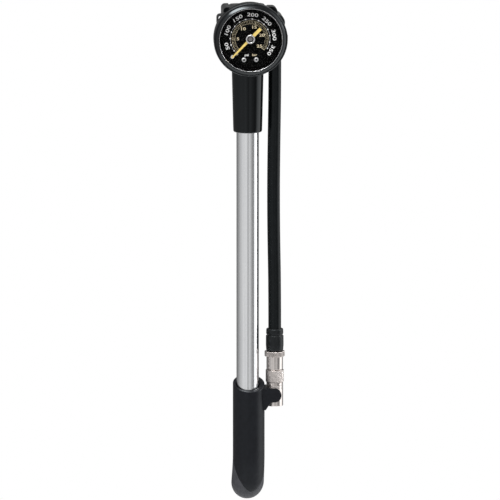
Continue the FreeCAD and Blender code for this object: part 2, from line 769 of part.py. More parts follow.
# ---- shoulders: bleed valve on the left, hose swivel on the right ----
def makeBleed():
    left = -headHalf - size["leftShoulder"]
    bottom = shoulderFoot
    blank = padded("bleed_blank", [
        (left, bottom), (-headHalf, bottom), (-headHalf, shoulderTop - size["shoulderNotch"]),
        (-headHalf - size["shoulderNotch"], shoulderTop),
        (left, shoulderTop, size["leftShoulderRound"])],
        size["headFront"] + size["leftShoulderBack"])
    stand(blank, y=size["leftShoulderBack"], turn="front")
    low = crossZ - size["buttonHeight"] * 0.3
    high = low + size["buttonHeight"]
    gap = size["buttonGap"]
    pocket = padded("button_pocket",
                    rectangle(left - gap, left + size["pocketDepth"], low - gap, high + gap),
                    size["buttonWidth"] + gap * 2)
    stand(pocket, y=size["buttonWidth"] / 2 + gap - size["channelFront"], turn="front")
    pinHole = rod("bleed_pin_hole", size["bleedPinRadius"] + size["runningGap"], size["leftShoulder"],
                  x=-headHalf, y=-size["channelFront"], z=crossZ, turn="left")
    housing = cut("bleed_housing", blank, pocket, pinHole)

    outside = left - size["buttonProud"]
    inside = outside + size["buttonDepth"]
    wall = size["buttonWall"]
    hoop = padded("hoop_blank", [
        (outside, low, size["buttonRound"]), (inside, low), (inside, high),
        (outside, high, size["buttonRound"])], size["buttonWidth"])
    stand(hoop, y=size["buttonWidth"] / 2 - size["channelFront"], turn="front")
    window = padded("hoop_window", rectangle(
        outside + wall, inside - wall, high - wall - size["buttonWindow"], high - wall,
        size["buttonRound"] * 0.45), size["buttonWidth"] * 2)
    stand(window, y=size["buttonWidth"] - size["channelFront"], turn="front")
    pinSocket = rod("hoop_pin_hole", size["bleedPinRadius"], size["buttonDepth"], x=inside + gap,
                    y=-size["channelFront"], z=crossZ, turn="left")
    button = cut("bleed_button", hoop, window, pinSocket)

    headFace = -headHalf + size["bleedSealBar"] * 2 + size["bleedHeadLength"] + gap
    pinLength = headFace - outside - wall * 0.5
    pin = turned("bleed_pin", [
        (0, 0), (size["bleedHeadRadius"], 0), (size["bleedHeadRadius"], size["bleedHeadLength"]),
        (size["bleedPinRadius"], size["bleedHeadLength"]), (size["bleedPinRadius"], pinLength),
        (0, pinLength)])
    stand(pin, x=headFace, y=-size["channelFront"], z=crossZ, turn="left")

    seal = turned("bleed_seal", rectangle(
        size["bleedPinRadius"] + size["runningGap"], size["bleedPinRadius"] + size["bleedSealBar"],
        0, size["bleedSealBar"]))
    stand(seal, x=-headHalf + size["bleedSealBar"], y=-size["channelFront"], z=crossZ, turn="left")

    pocketFloor = left + size["pocketDepth"]
    springRoom = pocketFloor - inside - size["bleedWire"] * 1.6
    spring = coil("bleed_spring", size["bleedSpringRadius"], size["bleedWire"] / 2, springRoom, 3)
    stand(spring, x=pocketFloor - size["bleedWire"] * 0.8, y=-size["channelFront"], z=crossZ,
          turn="left")
    return [housing, button, pin, seal, spring]


def makeSwivel():
    eyeX = size["eyeX"]
    radius = size["eyeRadius"]
    right = headHalf + size["rightShoulder"]
    blank = padded("swivel_blank", [
        (headHalf, crossZ - radius), (eyeX + radius, crossZ - radius, radius * 0.98),
        (eyeX + radius, crossZ + radius, radius * 0.98), (right, crossZ + radius),
        (right, shoulderTop, size["rightShoulderRound"]),
        (headHalf + size["shoulderNotch"], shoulderTop),
        (headHalf, shoulderTop - size["shoulderNotch"])], size["headFront"] + lugBack)
    stand(blank, y=lugBack, turn="front")
    boltDepth = size["headFront"] + lugBack - size["lugSkin"]
    boltHole = rod("bolt_hole", size["boltRadius"], boltDepth, x=eyeX, y=lugBack, z=crossZ,
                   turn="front")
    channel = rod("lug_channel", size["channelRadius"], eyeX - headHalf, x=eyeX,
                  y=-size["channelFront"], z=crossZ, turn="left")
    housing = cut("swivel_housing", blank, boltHole, channel)

    head = size["boltHead"] / 2
    shank = eyeBack + size["eyeGap"] - lugBack + boltDepth
    waist = size["boltRadius"] - size["boltRingBar"] * 2
    bar = size["boltRingBar"]
    grooves = [size["eyeGap"] + size["eyeWidth"] * part for part in (0.2, 0.8)]
    corners = [(0, -size["boltHeadHeight"]), (head, -size["boltHeadHeight"], bar * 2), (head, 0),
               (size["boltRadius"], 0)]
    for middle in grooves:
        corners += [(size["boltRadius"], middle - bar), (waist, middle - bar), (waist, middle + bar),
                    (size["boltRadius"], middle + bar)]
    corners += [(size["boltRadius"], shank), (size["channelRadius"], shank),
                (size["channelRadius"], size["boltHeadHeight"]), (0, size["boltHeadHeight"])]
    boltBlank = turned("banjo_blank", corners)
    stand(boltBlank, x=eyeX, y=eyeBack + size["eyeGap"], z=crossZ, turn="front")
    slot = padded("banjo_slot", rectangle(-head * 2, head * 2, -bar * 1.5, bar * 1.5),
                  size["boltHeadHeight"] * 0.4)
    stand(slot, x=eyeX, y=eyeBack + size["eyeGap"] + size["boltHeadHeight"], z=crossZ, turn="front")
    bolt = cut("banjo_bolt", boltBlank, slot)
    seals = [ring(name, size["boltRadius"] - bar, bar, x=eyeX,
                  y=eyeBack + size["eyeGap"] - middle, z=crossZ, turn="front")
             for name, middle in zip(("swivel_seal_back", "swivel_seal_front"), grooves)]
    return [housing, bolt] + seals


def makeHoseTop():
    eyeX = size["eyeX"]
    disc = rod("eye_disc", size["eyeRadius"], size["eyeWidth"], x=eyeX, y=eyeBack, z=crossZ,
               turn="front")
    stub = rod("eye_stub", size["stubRadius"], crossZ - stubBottom, x=eyeX, y=size["eyeY"],
               z=stubBottom)
    barbLength = size["ferruleLength"] - size["barbRadius"]
    barb = rod("eye_barb", size["barbRadius"], barbLength + size["barbRadius"], x=eyeX,
               y=size["eyeY"], z=stubBottom - barbLength)
    blank = fused("eye_blank", disc, stub, barb)
    hole = rod("eye_hole", size["boltRadius"] + size["runningGap"], size["eyeWidth"] * 2, x=eyeX,
               y=eyeBack + size["eyeWidth"] / 2, z=crossZ, turn="front")
    passage = rod("eye_passage", size["channelRadius"], crossZ - ferruleBottom, x=eyeX,
                  y=size["eyeY"], z=ferruleBottom)
    eye = cut("swivel_eye", blank, hole, passage)

    length = size["ferruleLength"]
    outer = size["ferruleOuter"] / 2
    neck = size["hoseOuter"] / 2
    crimp = length / 4
    ferrule = turned("hose_ferrule", [
        (size["barbRadius"], 0), (outer, 0, size["barbRadius"] / 4), (outer, crimp), (neck, crimp * 1.3),
        (neck, crimp * 2.7), (outer, crimp * 3), (outer, length, size["barbRadius"] / 4),
        (size["barbRadius"], length)])
    stand(ferrule, x=eyeX, y=size["eyeY"], z=ferruleBottom)
    return [eye, ferrule]


# ---- hose ----
def makeHose():
    """A plain round tube along straight runs that are joined by tangent arcs."""
    depth = size["eyeY"].value
    radius = size["hoseOuter"].value / 2
    points = [FreeCAD.Vector(x, depth, z) for x, z in HOSE_ROUTE]
    edges = []
    start = points[0]
    for before, here, after in zip(points, points[1:], points[2:]):
        toBefore = before - here
        toAfter = after - here
        turn = math.pi - toBefore.getAngle(toAfter)
        reach = 0.45 * min(toBefore.Length, toAfter.Length)
        bend = reach / math.tan(turn / 2)
        print(f"hose bend radius {bend:.0f} mm")
        entry = here + toBefore.normalize() * reach
        leave = here + toAfter.normalize() * reach
        centre = here + (toBefore + toAfter).normalize() * (bend / math.cos(turn / 2))
        middle = centre + (here - centre).normalize() * bend
        edges.append(Part.LineSegment(start, entry).toShape())
        edges.append(Part.Arc(entry, middle, leave).toShape())
        start = leave
    edges.append(Part.LineSegment(start, points[-1]).toShape())
    path = Part.Wire(edges)
    section = Part.Wire([Part.makeCircle(radius, points[0], points[1] - points[0])])
    tube = path.makePipeShell([section], True, False)
    share = tube.Volume / (math.pi * radius * radius * path.Length)
    print(f"hose length {path.Length:.1f} mm, volume against section times length {share:.5f}")
    hose = doc.addObject("Part::Feature", "hose")
    hose.Shape = tube
    hose.Placement = FreeCAD.Placement()
    return [hose]


# ---- connector ----
def makeConnector():
    x, y = size["connectorX"], size["eyeY"]
    outer = size["bootOuter"] / 2
    neck = size["bootNeck"] / 2
    height = size["hoseEnd"] - size["bootBottom"]
    groove = size["bootGrooveHeight"] - size["bootBottom"]
    notch = size["bootGroove"]
    boot = turned("hose_boot", [
        (size["bootBarb"], 0), (neck, 0, notch * 2), (outer, height * 0.3, outer),
        (neck + notch / 2, groove - notch), (neck - notch, groove),
        (neck + notch / 2, groove + notch), (neck, height, notch), (0, height),
        (0, height - notch * 4), (size["bootBarb"], height - notch * 4)])
    stand(boot, x=x, y=y, z=size["bootBottom"])

    flangeOut = size["flangeOuter"] / 2
    polished = size["polishedOuter"] / 2
    flangeBlank = turned("flange_blank", [
        (0, 0), (flangeOut, 0, notch / 2), (flangeOut, size["flangeHeight"], notch / 2),
        (size["bootBarb"], size["flangeHeight"]),
        (size["bootBarb"], size["flangeHeight"] + height - notch * 4),
        (0, size["flangeHeight"] + height - notch * 4)])
    stand(flangeBlank, x=x, y=y, z=size["bootBottom"] - size["flangeHeight"])
    flangeBlank.Label = "connector_flange"

    bodyTop = size["bootBottom"] - size["flangeHeight"]
    shoulder = bodyTop - size["polishedHeight"]
    coreBottom = size["sleeveBottom"] + size["threadLength"] + size["gasketGap"] + size["gasketHeight"]
    core = size["coreRadius"]
    body = turned("connector_body", [
        (0, coreBottom - shoulder), (core, coreBottom - shoulder), (core, 0),
        (polished, 0, notch), (polished, size["polishedHeight"], notch / 2),
        (0, size["polishedHeight"])])
    stand(body, x=x, y=y, z=shoulder)

    gasket = turned("valve_gasket", rectangle(size["gasketHole"], core, 0, size["gasketHeight"]))
    stand(gasket, x=x, y=y, z=coreBottom - size["gasketHeight"])
    pin = rod("depressor_pin", size["depressorRadius"], size["gasketHeight"], x=x, y=y,
              z=coreBottom - size["gasketHeight"])

    sleeveLength = size["sleeveTop"] - size["sleeveBottom"]
    knurlLow = sleeveLength - size["knurlHeight"]
    bore = core + size["runningGap"]
    sleeve = turned("chuck_sleeve", [
        (size["threadRadius"], 0), (sleeveRadius, 0, notch * 0.6),
        (sleeveRadius, knurlLow), (size["knurlOuter"] / 2, knurlLow, notch / 2),
        (size["knurlOuter"] / 2, sleeveLength, notch / 2), (bore, sleeveLength),
        (bore, size["threadLength"]), (size["threadRadius"], size["threadLength"])])
    stand(sleeve, x=x, y=y, z=size["sleeveBottom"])
    return [boot, flangeBlank, body, gasket, pin, sleeve]


# ---- gauge: local X is +X, local Y is +Z and local Z is the distance in front of the barrel's axis ----
def faceFront(item):
    return stand(item, z=gaugeZ, turn="front")


def makeGaugeShell():
    outer, neck, inner = size["caseOuter"], size["caseNeck"], size["caseInner"]
    caseBlank = turned("case_blank", [
        (size["stemRadius"], caseBack), (outer, caseBack, size["bezelEdge"]),
        (outer, size["bezelBack"]), (neck, size["bezelBack"]), (neck, size["caseRim"]),
        (inner, size["caseRim"]), (inner, caseInside), (size["stemRadius"], caseInside)])
    nub = padded("case_nub", rectangle(outer - size["caseFloor"], outer + size["caseNub"],
                                       -size["caseNub"] * 1.6, size["caseNub"] * 1.6,
                                       size["caseNub"] * 0.7),
                 size["bezelBack"] - caseInside, raised=caseInside)
    case = fused("gauge_case", faceFront(caseBlank), faceFront(nub))

    lensBack = size["caseRim"]
    lensFront = lensBack + size["lensThickness"]
    edge = size["bezelEdge"]
    lip = size["bezelLip"]
    bezel = turned("gauge_bezel", [
        (neck, size["bezelBack"]), (size["bezelOuter"], size["bezelBack"], edge / 3),
        (size["bezelOuter"], size["bezelFront"], edge * 1.4),
        (lip + edge * 1.2, size["bezelFront"], edge / 3),
        (lip + edge, size["bezelFront"] - edge * 0.7), (lip, size["bezelFront"] - edge, edge / 4),
        (lip, lensFront), (neck, lensFront)])
    lens = turned("gauge_lens", rectangle(0, size["lensRadius"], lensBack, lensFront))
    return [case, faceFront(bezel), faceFront(lens)]


def makeDial():
    plate = turned("dial_blank", rectangle(size["dialHole"], size["dialRadius"], dialBack,
                                           size["dialFront"]))
    faceFront(plate)
    holes, screws = [], []
    drop = gaugeZ - size["dialScrewDrop"]
    shank = size["dialScrewShank"]
    head = size["dialScrewHead"]
    for name, side in (("left", -1), ("right", 1)):
        across = size["dialScrewX"] * side
        holes.append(rod(f"dial_hole_{name}", shank, size["dialThickness"], x=across, y=-dialBack,
                         z=drop, turn="front"))
        depth = size["dialThickness"] * 4
        blank = turned(f"dial_screw_{name}_blank", [
            (0, -depth), (shank, -depth), (shank, 0), (head, 0),
            (head, head * 0.6, head * 0.35), (0, head * 0.68)])
        stand(blank, x=across, y=-size["dialFront"], z=drop, turn="front")
        slot = padded(f"dial_slot_{name}", rectangle(-head * 2, head * 2, -head * 0.15, head * 0.15),
                      head, raised=head * 0.4)
        stand(slot, x=across, y=-size["dialFront"], z=drop, turn="front")
        screws.append(cut(f"dial_screw_{name}", blank, slot))
    return [cut("dial_plate", plate, *holes)] + screws


def makeNeedle():
    """Pointer and tail lie on the needle's rest line; the body is turned to it by its placement."""
    half = size["needleWidth"] / 2
    tail = size["tailWidth"] / 2
    hub = size["hubRadius"]
    low = size["needleHeight"]
    blank = padded("needle_blank", [
        (-half, 0), (-size["needleTip"] / 2, -size["needleLength"]),
        (size["needleTip"] / 2, -size["needleLength"]), (half, 0), (tail, hub / 2),
        (tail, size["needleTail"]), (-tail, size["needleTail"]), (-tail, hub / 2)],
        size["needleThickness"], raised=low)
    blank.Placement = FreeCAD.Placement(
        FreeCAD.Vector(), FreeCAD.Rotation(FreeCAD.Vector(0, 0, 1), (DIAL_SWEEP - 360) / 2 + 3))
    disc = rod("needle_disc", hub * 0.8, size["needleThickness"], z=low)
    bushHole = rod("needle_bush_hole", hub * 0.55, size["needleThickness"] * 3,
                   z=low - size["needleThickness"])
    needle = cut("needle", fused("needle_form", blank, disc), bushHole)
    needle.Placement = FreeCAD.Placement(FreeCAD.Vector(0, 0, gaugeZ.value), TURNS["front"])
    needle.setExpression("Placement.Base.z", gaugeZ.text)

    shaft = size["shaftRadius"]
    bush = hub * 0.55
    foot = size["dialFront"] + size["hubFoot"]
    hubPiece = turned("needle_hub", [
        (shaft, foot), (bush, foot), (bush, low + size["needleThickness"]),
        (hub, low + size["needleThickness"]), (hub, size["hubTop"], size["needleThickness"] * 0.7),
        (bush, size["hubTop"]), (bush, size["hubTop"] - size["needleThickness"]),
        (shaft, size["hubTop"] - size["needleThickness"])])
    return [needle, faceFront(hubPiece)]


def toothedWheel(teeth, module, clearance, firstTooth, lastTooth, rootReach):
    """Corners of a wheel's rim from its first tooth to its last, anticlockwise, with the tooth
    numbered 0 centred on local +X.  Flanks are straight, which is close enough at this size."""
    pitch = module * teeth / 2
    corners = []
    step = 360.0 / teeth
    for tooth in range(firstTooth, lastTooth + 1):
        for reach, share in ((-rootReach, -0.31), (0.9, -0.12), (0.9, 0.12), (-rootReach, 0.31)):
            angle = math.radians(step * (tooth + share * (1 - clearance)))
            corners.append(((pitch + module * reach) * math.cos(angle),
                            (pitch + module * reach) * math.sin(angle)))
    return corners


def turnedCorners(corners, degrees):
    turn = math.radians(degrees)
    return [(x * math.cos(turn) - y * math.sin(turn), x * math.sin(turn) + y * math.cos(turn))
            for x, y in corners]


def makeMovement():
    """Pinion on the needle's shaft, and the sector that drives it."""
    module = size["gearModule"]
    shaft = size["shaftRadius"]
    plate = size["plateThickness"]
    back = size["backPlateHeight"]
    toPinion = math.degrees(math.atan2(size["pivotDrop"].value, -size["pivotX"].value))

    pinionRim = turnedCorners(toothedWheel(PINION_TEETH, module, 0.15, 0,
                                           PINION_TEETH - 1, 1.15),
                              toPinion + 180 + 180 / PINION_TEETH)
    pinionWheel = padded("pinion_wheel", pinionRim, size["gearThickness"], raised=gearBack)
    pinionShaft = turned("pinion_shaft", rectangle(0, shaft, back, size["hubTop"]
                                                   - size["needleThickness"]))
    pinion = fused("pinion", faceFront(pinionWheel), faceFront(pinionShaft))

    swing = DIAL_SWEEP * PINION_TEETH / SECTOR_TEETH
    degreesPerTooth = 360 / SECTOR_TEETH
    lastTooth = 1
    firstTooth = -math.ceil(swing / degreesPerTooth) - 1
    rim = toothedWheel(SECTOR_TEETH, module, 0.15, firstTooth, lastTooth, 1.15)
    rim = turnedCorners(rim, toPinion)
    web = size["linkWidth"] * 0.45
    sectorWheel = padded("sector_wheel", rim + [
        (-web, web), (-web, -web), (size["tailArm"] + web, -web), (size["tailArm"] + web, web),
        (web * 1.4, web * 1.2)], size["gearThickness"], raised=gearBack)
    sectorShaft = turned("sector_shaft", rectangle(0, shaft, back, frontPlateHeight + plate))
    pivotZ = gaugeZ - size["pivotDrop"]
    for item in (sectorWheel, sectorShaft):
        stand(item, x=size["pivotX"], z=pivotZ, turn="front")
    sector = fused("sector_gear", sectorWheel, sectorShaft)

    linkLow = gearFront + size["linkGap"] / 3
    half = size["linkWidth"] / 2
    link = padded("bourdon_link", rectangle(-half, size["linkLength"] + half, -half, half,
                                            half * 0.95), size["linkThickness"], raised=linkLow)
    stand(link, x=size["pivotX"] + size["tailArm"], z=pivotZ, turn="front")
    return [pinion, sector, link]


def makeFrame():
    """Two plates that hold the pinion and the sector, on the gauge's brass socket."""
    shaft = size["shaftRadius"] + size["runningGap"]
    plate = size["plateThickness"]
    right = size["pivotX"] + size["linkWidth"]
    low = -size["pivotDrop"] - size["linkWidth"] * 1.2
    arm = size["socketRadius"] * 0.9
    corners = [(-arm, arm * 0.8), (-arm, -arm * 0.4), (size["pivotX"] - arm / 2, low), (right, low),
               (right, low + arm), (arm * 2.3, -arm), (arm * 2.3, -arm * 0.5), (arm * 0.2, arm * 0.8)]
    pillarPlaces = [(-arm * 0.75, arm * 0.45), (arm * 2.1, -arm * 0.72)]
    plates = []
    for name, height in (("movement_back", size["backPlateHeight"]),
                         ("movement_front", frontPlateHeight)):
        blank = padded(name + "_blank", corners, plate, raised=height)
        faceFront(blank)
        holes = [rod(name + "_pinion_hole", shaft, plate * 3, y=plate - height, z=gaugeZ, turn="front"),
                 rod(name + "_pivot_hole", shaft, plate * 3, x=size["pivotX"], y=plate - height,
                     z=gaugeZ - size["pivotDrop"], turn="front")]
        plates.append((blank, holes))
    pillars = [rod(f"pillar_{index}", plate, size["gearThickness"] + size["gearGap"] * 2, x=x,
                   y=-(size["backPlateHeight"] + plate), z=gaugeZ + y, turn="front")
               for index, (x, y) in enumerate(pillarPlaces)]
    backBlank = fused("movement_back_form", plates[0][0], *pillars)
    return [cut("movement_back", backBlank, *plates[0][1]),
            cut("movement_front", plates[1][0], *plates[1][1])]


def makeSocket():
    """Brass block on the case's floor: stem to the head, and a foot for the tube and dial screws."""
    stemBack = size["headFront"] - size["stemLength"]
    boss = turned("socket_boss", [
        (size["stemHole"], stemBack), (size["stemRadius"], stemBack),
        (size["stemRadius"], caseInside), (size["socketRadius"], caseInside),
        (size["socketRadius"], size["backPlateHeight"]), (0, size["backPlateHeight"]),
        (0, size["backPlateHeight"] - size["plateThickness"]),
        (size["stemHole"], size["backPlateHeight"] - size["plateThickness"])])
    web = padded("socket_web", rectangle(-size["stemRadius"], size["stemRadius"],
                                         -size["socketFootTop"] - size["plateThickness"],
                                         -size["stemRadius"]),
                 size["backPlateHeight"] - caseInside, raised=caseInside)
    half = size["socketFootHalf"]
    foot = padded("socket_foot", rectangle(-half, half, -size["socketFootBottom"],
                                           -size["socketFootTop"]),
                  dialBack - caseInside, raised=caseInside)
    blank = fused("socket_blank", faceFront(boss), faceFront(web), faceFront(foot))
    depth = size["dialThickness"] * 4
    screwHoles = [rod(f"socket_hole_{name}", size["dialScrewShank"], depth,
                      x=size["dialScrewX"] * side, y=depth - size["dialFront"],
                      z=gaugeZ - size["dialScrewDrop"], turn="front")
                  for name, side in (("left", -1), ("right", 1))]
    socket = cut("gauge_socket", blank, *screwHoles)

    tube = newBody("bourdon_tube")
    raised = caseInside + size["tubeRaise"]
    inner = size["tubeRadius"] - size["tubeWidth"] / 2
    section = outline(newSketch(tube, "XZ_Plane", "bourdon_section"),
                      rectangle(inner, inner + size["tubeWidth"], raised, raised + size["tubeHeight"],
                                size["tubeWidth"] * 0.4))
    sweep = tube.newObject("PartDesign::Revolution", "bourdon_sweep")
    sweep.Profile = section
    sweep.ReferenceAxis = (section, ["V_Axis"])
    sweep.Angle = 278
    tube.Placement = FreeCAD.Placement(
        FreeCAD.Vector(0, 0, gaugeZ.value),
        TURNS["front"] * FreeCAD.Rotation(FreeCAD.Vector(0, 0, 1), -29))
    tube.setExpression("Placement.Base.z", gaugeZ.text)

    seal = ring("gauge_seal", size["stemRadius"] + size["gaugeSealBar"] * 1.2, size["gaugeSealBar"],
                y=size["gaugeSealBar"] - size["headFront"], z=gaugeZ, turn="front")
    return [socket, tube, seal]


def checkAll(subparts):
    doc.recompute()
    faults = [f"{item.Name}: {item.State}" for item in doc.Objects
              if "Invalid" in item.State or "Error" in item.State]
    for item in subparts:
        shape = item.Shape
        if shape.isNull() or not shape.isValid() or not shape.Solids:
            faults.append(f"{item.Label}: no valid solid")
        else:
            print(f"{item.Label}: {len(shape.Solids)} solid, {shape.Volume:.1f} mm3, "
                  f"{len(shape.Faces)} faces")
    if faults:
        raise RuntimeError("; ".join(faults))


def main():
    makers = [makeHandle, makeClip, makeRod, makePiston, makeBarrel, makeHead, makeCheckValve,
              makeBleed, makeSwivel, makeHoseTop, makeHose, makeConnector, makeGaugeShell, makeDial,
              makeNeedle, makeMovement, makeFrame, makeSocket]
    subparts = [item for maker in makers for item in maker()]
    checkAll(subparts)
    os.makedirs("parts", exist_ok=True)
    for item in subparts:
        item.Shape.exportStep(f"parts/{item.Label}.step")
    print(f"{len(subparts)} sub-parts written")


main()
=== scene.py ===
import json
import math

import bmesh
import bpy
from mathutils import Matrix, Vector


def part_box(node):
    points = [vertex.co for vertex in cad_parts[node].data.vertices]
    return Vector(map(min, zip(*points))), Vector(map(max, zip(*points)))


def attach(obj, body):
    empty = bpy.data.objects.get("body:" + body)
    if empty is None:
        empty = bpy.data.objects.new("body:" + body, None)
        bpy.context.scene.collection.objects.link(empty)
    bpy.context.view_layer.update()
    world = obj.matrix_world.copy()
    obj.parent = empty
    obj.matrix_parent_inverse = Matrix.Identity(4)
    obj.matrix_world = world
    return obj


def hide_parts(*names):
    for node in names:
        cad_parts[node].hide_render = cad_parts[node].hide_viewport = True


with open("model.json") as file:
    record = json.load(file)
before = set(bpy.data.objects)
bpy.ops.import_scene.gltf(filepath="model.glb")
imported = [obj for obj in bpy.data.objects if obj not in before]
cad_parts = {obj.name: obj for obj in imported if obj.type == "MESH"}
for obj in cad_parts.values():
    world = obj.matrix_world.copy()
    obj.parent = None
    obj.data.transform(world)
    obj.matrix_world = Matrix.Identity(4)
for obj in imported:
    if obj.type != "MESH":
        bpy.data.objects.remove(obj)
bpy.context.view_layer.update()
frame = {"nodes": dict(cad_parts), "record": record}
mm = 0.001
joints = {joint["name"]: joint for joint in frame["record"]["behaviour"]["joints"]}
print("frame loaded")


def boxMm(node):                                  # a node's box in millimetres
    low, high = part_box(node)
    return [value / mm for value in low], [value / mm for value in high]


dialZ = joints["needle_turn"]["pos_m"][2] / mm
swivel = [value / mm for value in joints["hose_swivel"]["pos_m"]]
connectorPlace = (joints["chuck_turn"]["pos_m"][0] / mm, joints["chuck_turn"]["pos_m"][1] / mm, 0)


# every meshed piece ends up here, with its points in millimetres
def addMesh(name, points, faces, material, body, replaced=(), sharp=32):
    mesh = bpy.data.meshes.new(name)
    mesh.from_pydata([Vector(point) * mm for point in points], [], faces)
    work = bmesh.new()
    work.from_mesh(mesh)
    bmesh.ops.remove_doubles(work, verts=work.verts, dist=1e-7)
    bmesh.ops.dissolve_degenerate(work, edges=work.edges, dist=1e-8)
    bmesh.ops.recalc_face_normals(work, faces=work.faces)
    work.to_mesh(mesh)
    work.free()
    mesh.polygons.foreach_set("use_smooth", [True] * len(mesh.polygons))
    mesh.set_sharp_from_angle(angle=math.radians(sharp))
    piece = bpy.data.objects.new(name, mesh)
    bpy.context.scene.collection.objects.link(piece)
    return dress(piece, material, body, replaced)


def dress(piece, material, body, replaced=()):
    piece.data.materials.clear()
    piece.data.materials.append(material)
    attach(piece, body)
    if replaced:
        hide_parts(*replaced)
    return piece


def softCorners(corners, arcSteps=5):             # a corner's third number rounds it
    count = len(corners)
    points = []
    for index, corner in enumerate(corners):
        here = Vector(corner[:2])
        if len(corner) < 3 or corner[2] <= 0:
            points.append(here)
            continue
        before = (Vector(corners[index - 1][:2]) - here).normalized()
        after = (Vector(corners[(index + 1) % count][:2]) - here).normalized()
        half = before.angle(after) / 2
        centre = here + (before + after).normalized() * (corner[2] / math.sin(half))
        entry = here + before * (corner[2] / math.tan(half)) - centre
        sweep = math.pi - 2 * half
        if before.cross(after) > 0:
            sweep = -sweep
        for step in range(arcSteps + 1):
            turn = Matrix.Rotation(sweep * step / arcSteps, 2)
            points.append(centre + turn @ entry)
    return points


directions = {
    "up": Matrix.Identity(3),
    "front": Matrix(((1, 0, 0), (0, 0, -1), (0, 1, 0))),    # height runs to -Y
}


# turns (radius, height) corners about an axis through place, and relief changes the radius
def lathe(name, corners, place, material, body, replaced=(), turn="up", around=96, relief=None,
          sharp=32):
    outline = softCorners(corners)
    points, faces = [], []
    count = len(outline)
    for step in range(around):
        angle = 2 * math.pi * step / around
        for radius, height in outline:
            if relief and radius > 0:
                radius += relief(angle, height, radius)
            local = Vector((radius * math.cos(angle), radius * math.sin(angle), height))
            points.append(directions[turn] @ local + Vector(place))
    for step in range(around):
        other = (step + 1) % around
        for index in range(count):
            nextIndex = (index + 1) % count
            faces.append((step * count + index, other * count + index,
                          other * count + nextIndex, step * count + nextIndex))
    return addMesh(name, points, faces, material, body, replaced, sharp)


# skins rings that have the same number of points, and closes both ends
def stack(name, rings, material, body, replaced=(), sharp=32):
    count = len(rings[0])
    points = [point for ring in rings for point in ring]
    faces = []
    for level in range(len(rings) - 1):
        for index in range(count):
            nextIndex = (index + 1) % count
            faces.append((level * count + index, level * count + nextIndex,
                          (level + 1) * count + nextIndex, (level + 1) * count + index))
    faces.append(tuple(range(count)))
    faces.append(tuple(range((len(rings) - 1) * count, len(rings) * count)))
    return addMesh(name, points, faces, material, body, replaced, sharp)


noiseSpan = {"low": 0.3, "high": 0.7}             # where nearly all of a noise texture lies


class Finish:                                     # one material and its nodes
    def __init__(self, name, **shader):
        self.material = bpy.data.materials.new(name)
        self.material.use_nodes = True
        self.tree = self.material.node_tree
        self.shader = self.tree.nodes["Principled BSDF"]
        for socket, value in shader.items():
            self.shader.inputs[socket.replace("_", " ")].default_value = value

    def add(self, kind, **inputs):
        node = self.tree.nodes.new(kind)
        for socket, value in inputs.items():
            node.inputs[socket.replace("_", " ")].default_value = value
        return node

    def link(self, start, end):
        self.tree.links.new(start, end)

    def grain(self, size, detail=3.0, stretch=(1, 1, 1)):    # size of the grain in millimetres
        place = self.add("ShaderNodeTexCoord")
        mapping = self.add("ShaderNodeMapping")
        mapping.inputs["Scale"].default_value = stretch
        self.link(place.outputs["Object"], mapping.inputs["Vector"])
        noise = self.add("ShaderNodeTexNoise", Scale=1 / (size * mm), Detail=detail)
        self.link(mapping.outputs["Vector"], noise.inputs["Vector"])
        return noise.outputs["Fac"]

    def spread(self, value, low, high, target):
        node = self.add("ShaderNodeMapRange")
        node.inputs["From Min"].default_value = noiseSpan["low"]
        node.inputs["From Max"].default_value = noiseSpan["high"]
        node.inputs["To Min"].default_value = low
        node.inputs["To Max"].default_value = high
        self.link(value, node.inputs["Value"])
        self.link(node.outputs["Result"], self.shader.inputs[target])

    def tint(self, value, dark, light):
        ramp = self.add("ShaderNodeValToRGB")
        ramp.color_ramp.elements[0].position = noiseSpan["low"]
        ramp.color_ramp.elements[1].position = noiseSpan["high"]
        ramp.color_ramp.elements[0].color = (*dark, 1)
        ramp.color_ramp.elements[1].color = (*light, 1)
        self.link(value, ramp.inputs["Fac"])
        self.link(ramp.outputs["Color"], self.shader.inputs["Base Color"])

    def bump(self, value, depth):
        node = self.add("ShaderNodeBump", Strength=1.0, Distance=depth * mm)
        self.link(value, node.inputs["Height"])
        self.link(node.outputs["Normal"], self.shader.inputs["Normal"])


def plastic(name, dark, light, smooth, rough, grainSize, depth, specular=0.5):
    finish = Finish(name, Specular_IOR_Level=specular, Specular_Tint=(0.88, 0.96, 1.0, 1.0))
    grain = finish.grain(grainSize)
    finish.tint(finish.grain(grainSize * 12), dark, light)
    finish.spread(grain, smooth, rough, "Roughness")
    finish.bump(grain, depth)
    return finish.material


def metal(name, dark, light, smooth, rough, grainSize, depth, stretch=(1, 1, 1)):
    finish = Finish(name, Metallic=1.0)
    grain = finish.grain(grainSize, stretch=stretch)
    finish.tint(finish.grain(grainSize * 6, stretch=stretch), dark, light)
    finish.spread(grain, smooth, rough, "Roughness")
    finish.bump(grain, depth)
    return finish.material


def makeLens():
    finish = Finish("clearLens", Roughness=0.02)
    clear = finish.add("ShaderNodeBsdfTransparent")
    gloss = finish.add("ShaderNodeBsdfGlossy", Roughness=0.03)
    edge = finish.add("ShaderNodeFresnel", IOR=1.12)
    mix = finish.add("ShaderNodeMixShader")
    finish.link(edge.outputs["Fac"], mix.inputs["Fac"])
    finish.link(clear.outputs["BSDF"], mix.inputs[1])
    finish.link(gloss.outputs["BSDF"], mix.inputs[2])
    output = finish.tree.nodes["Material Output"]
    finish.link(mix.outputs["Shader"], output.inputs["Surface"])
    return finish.material


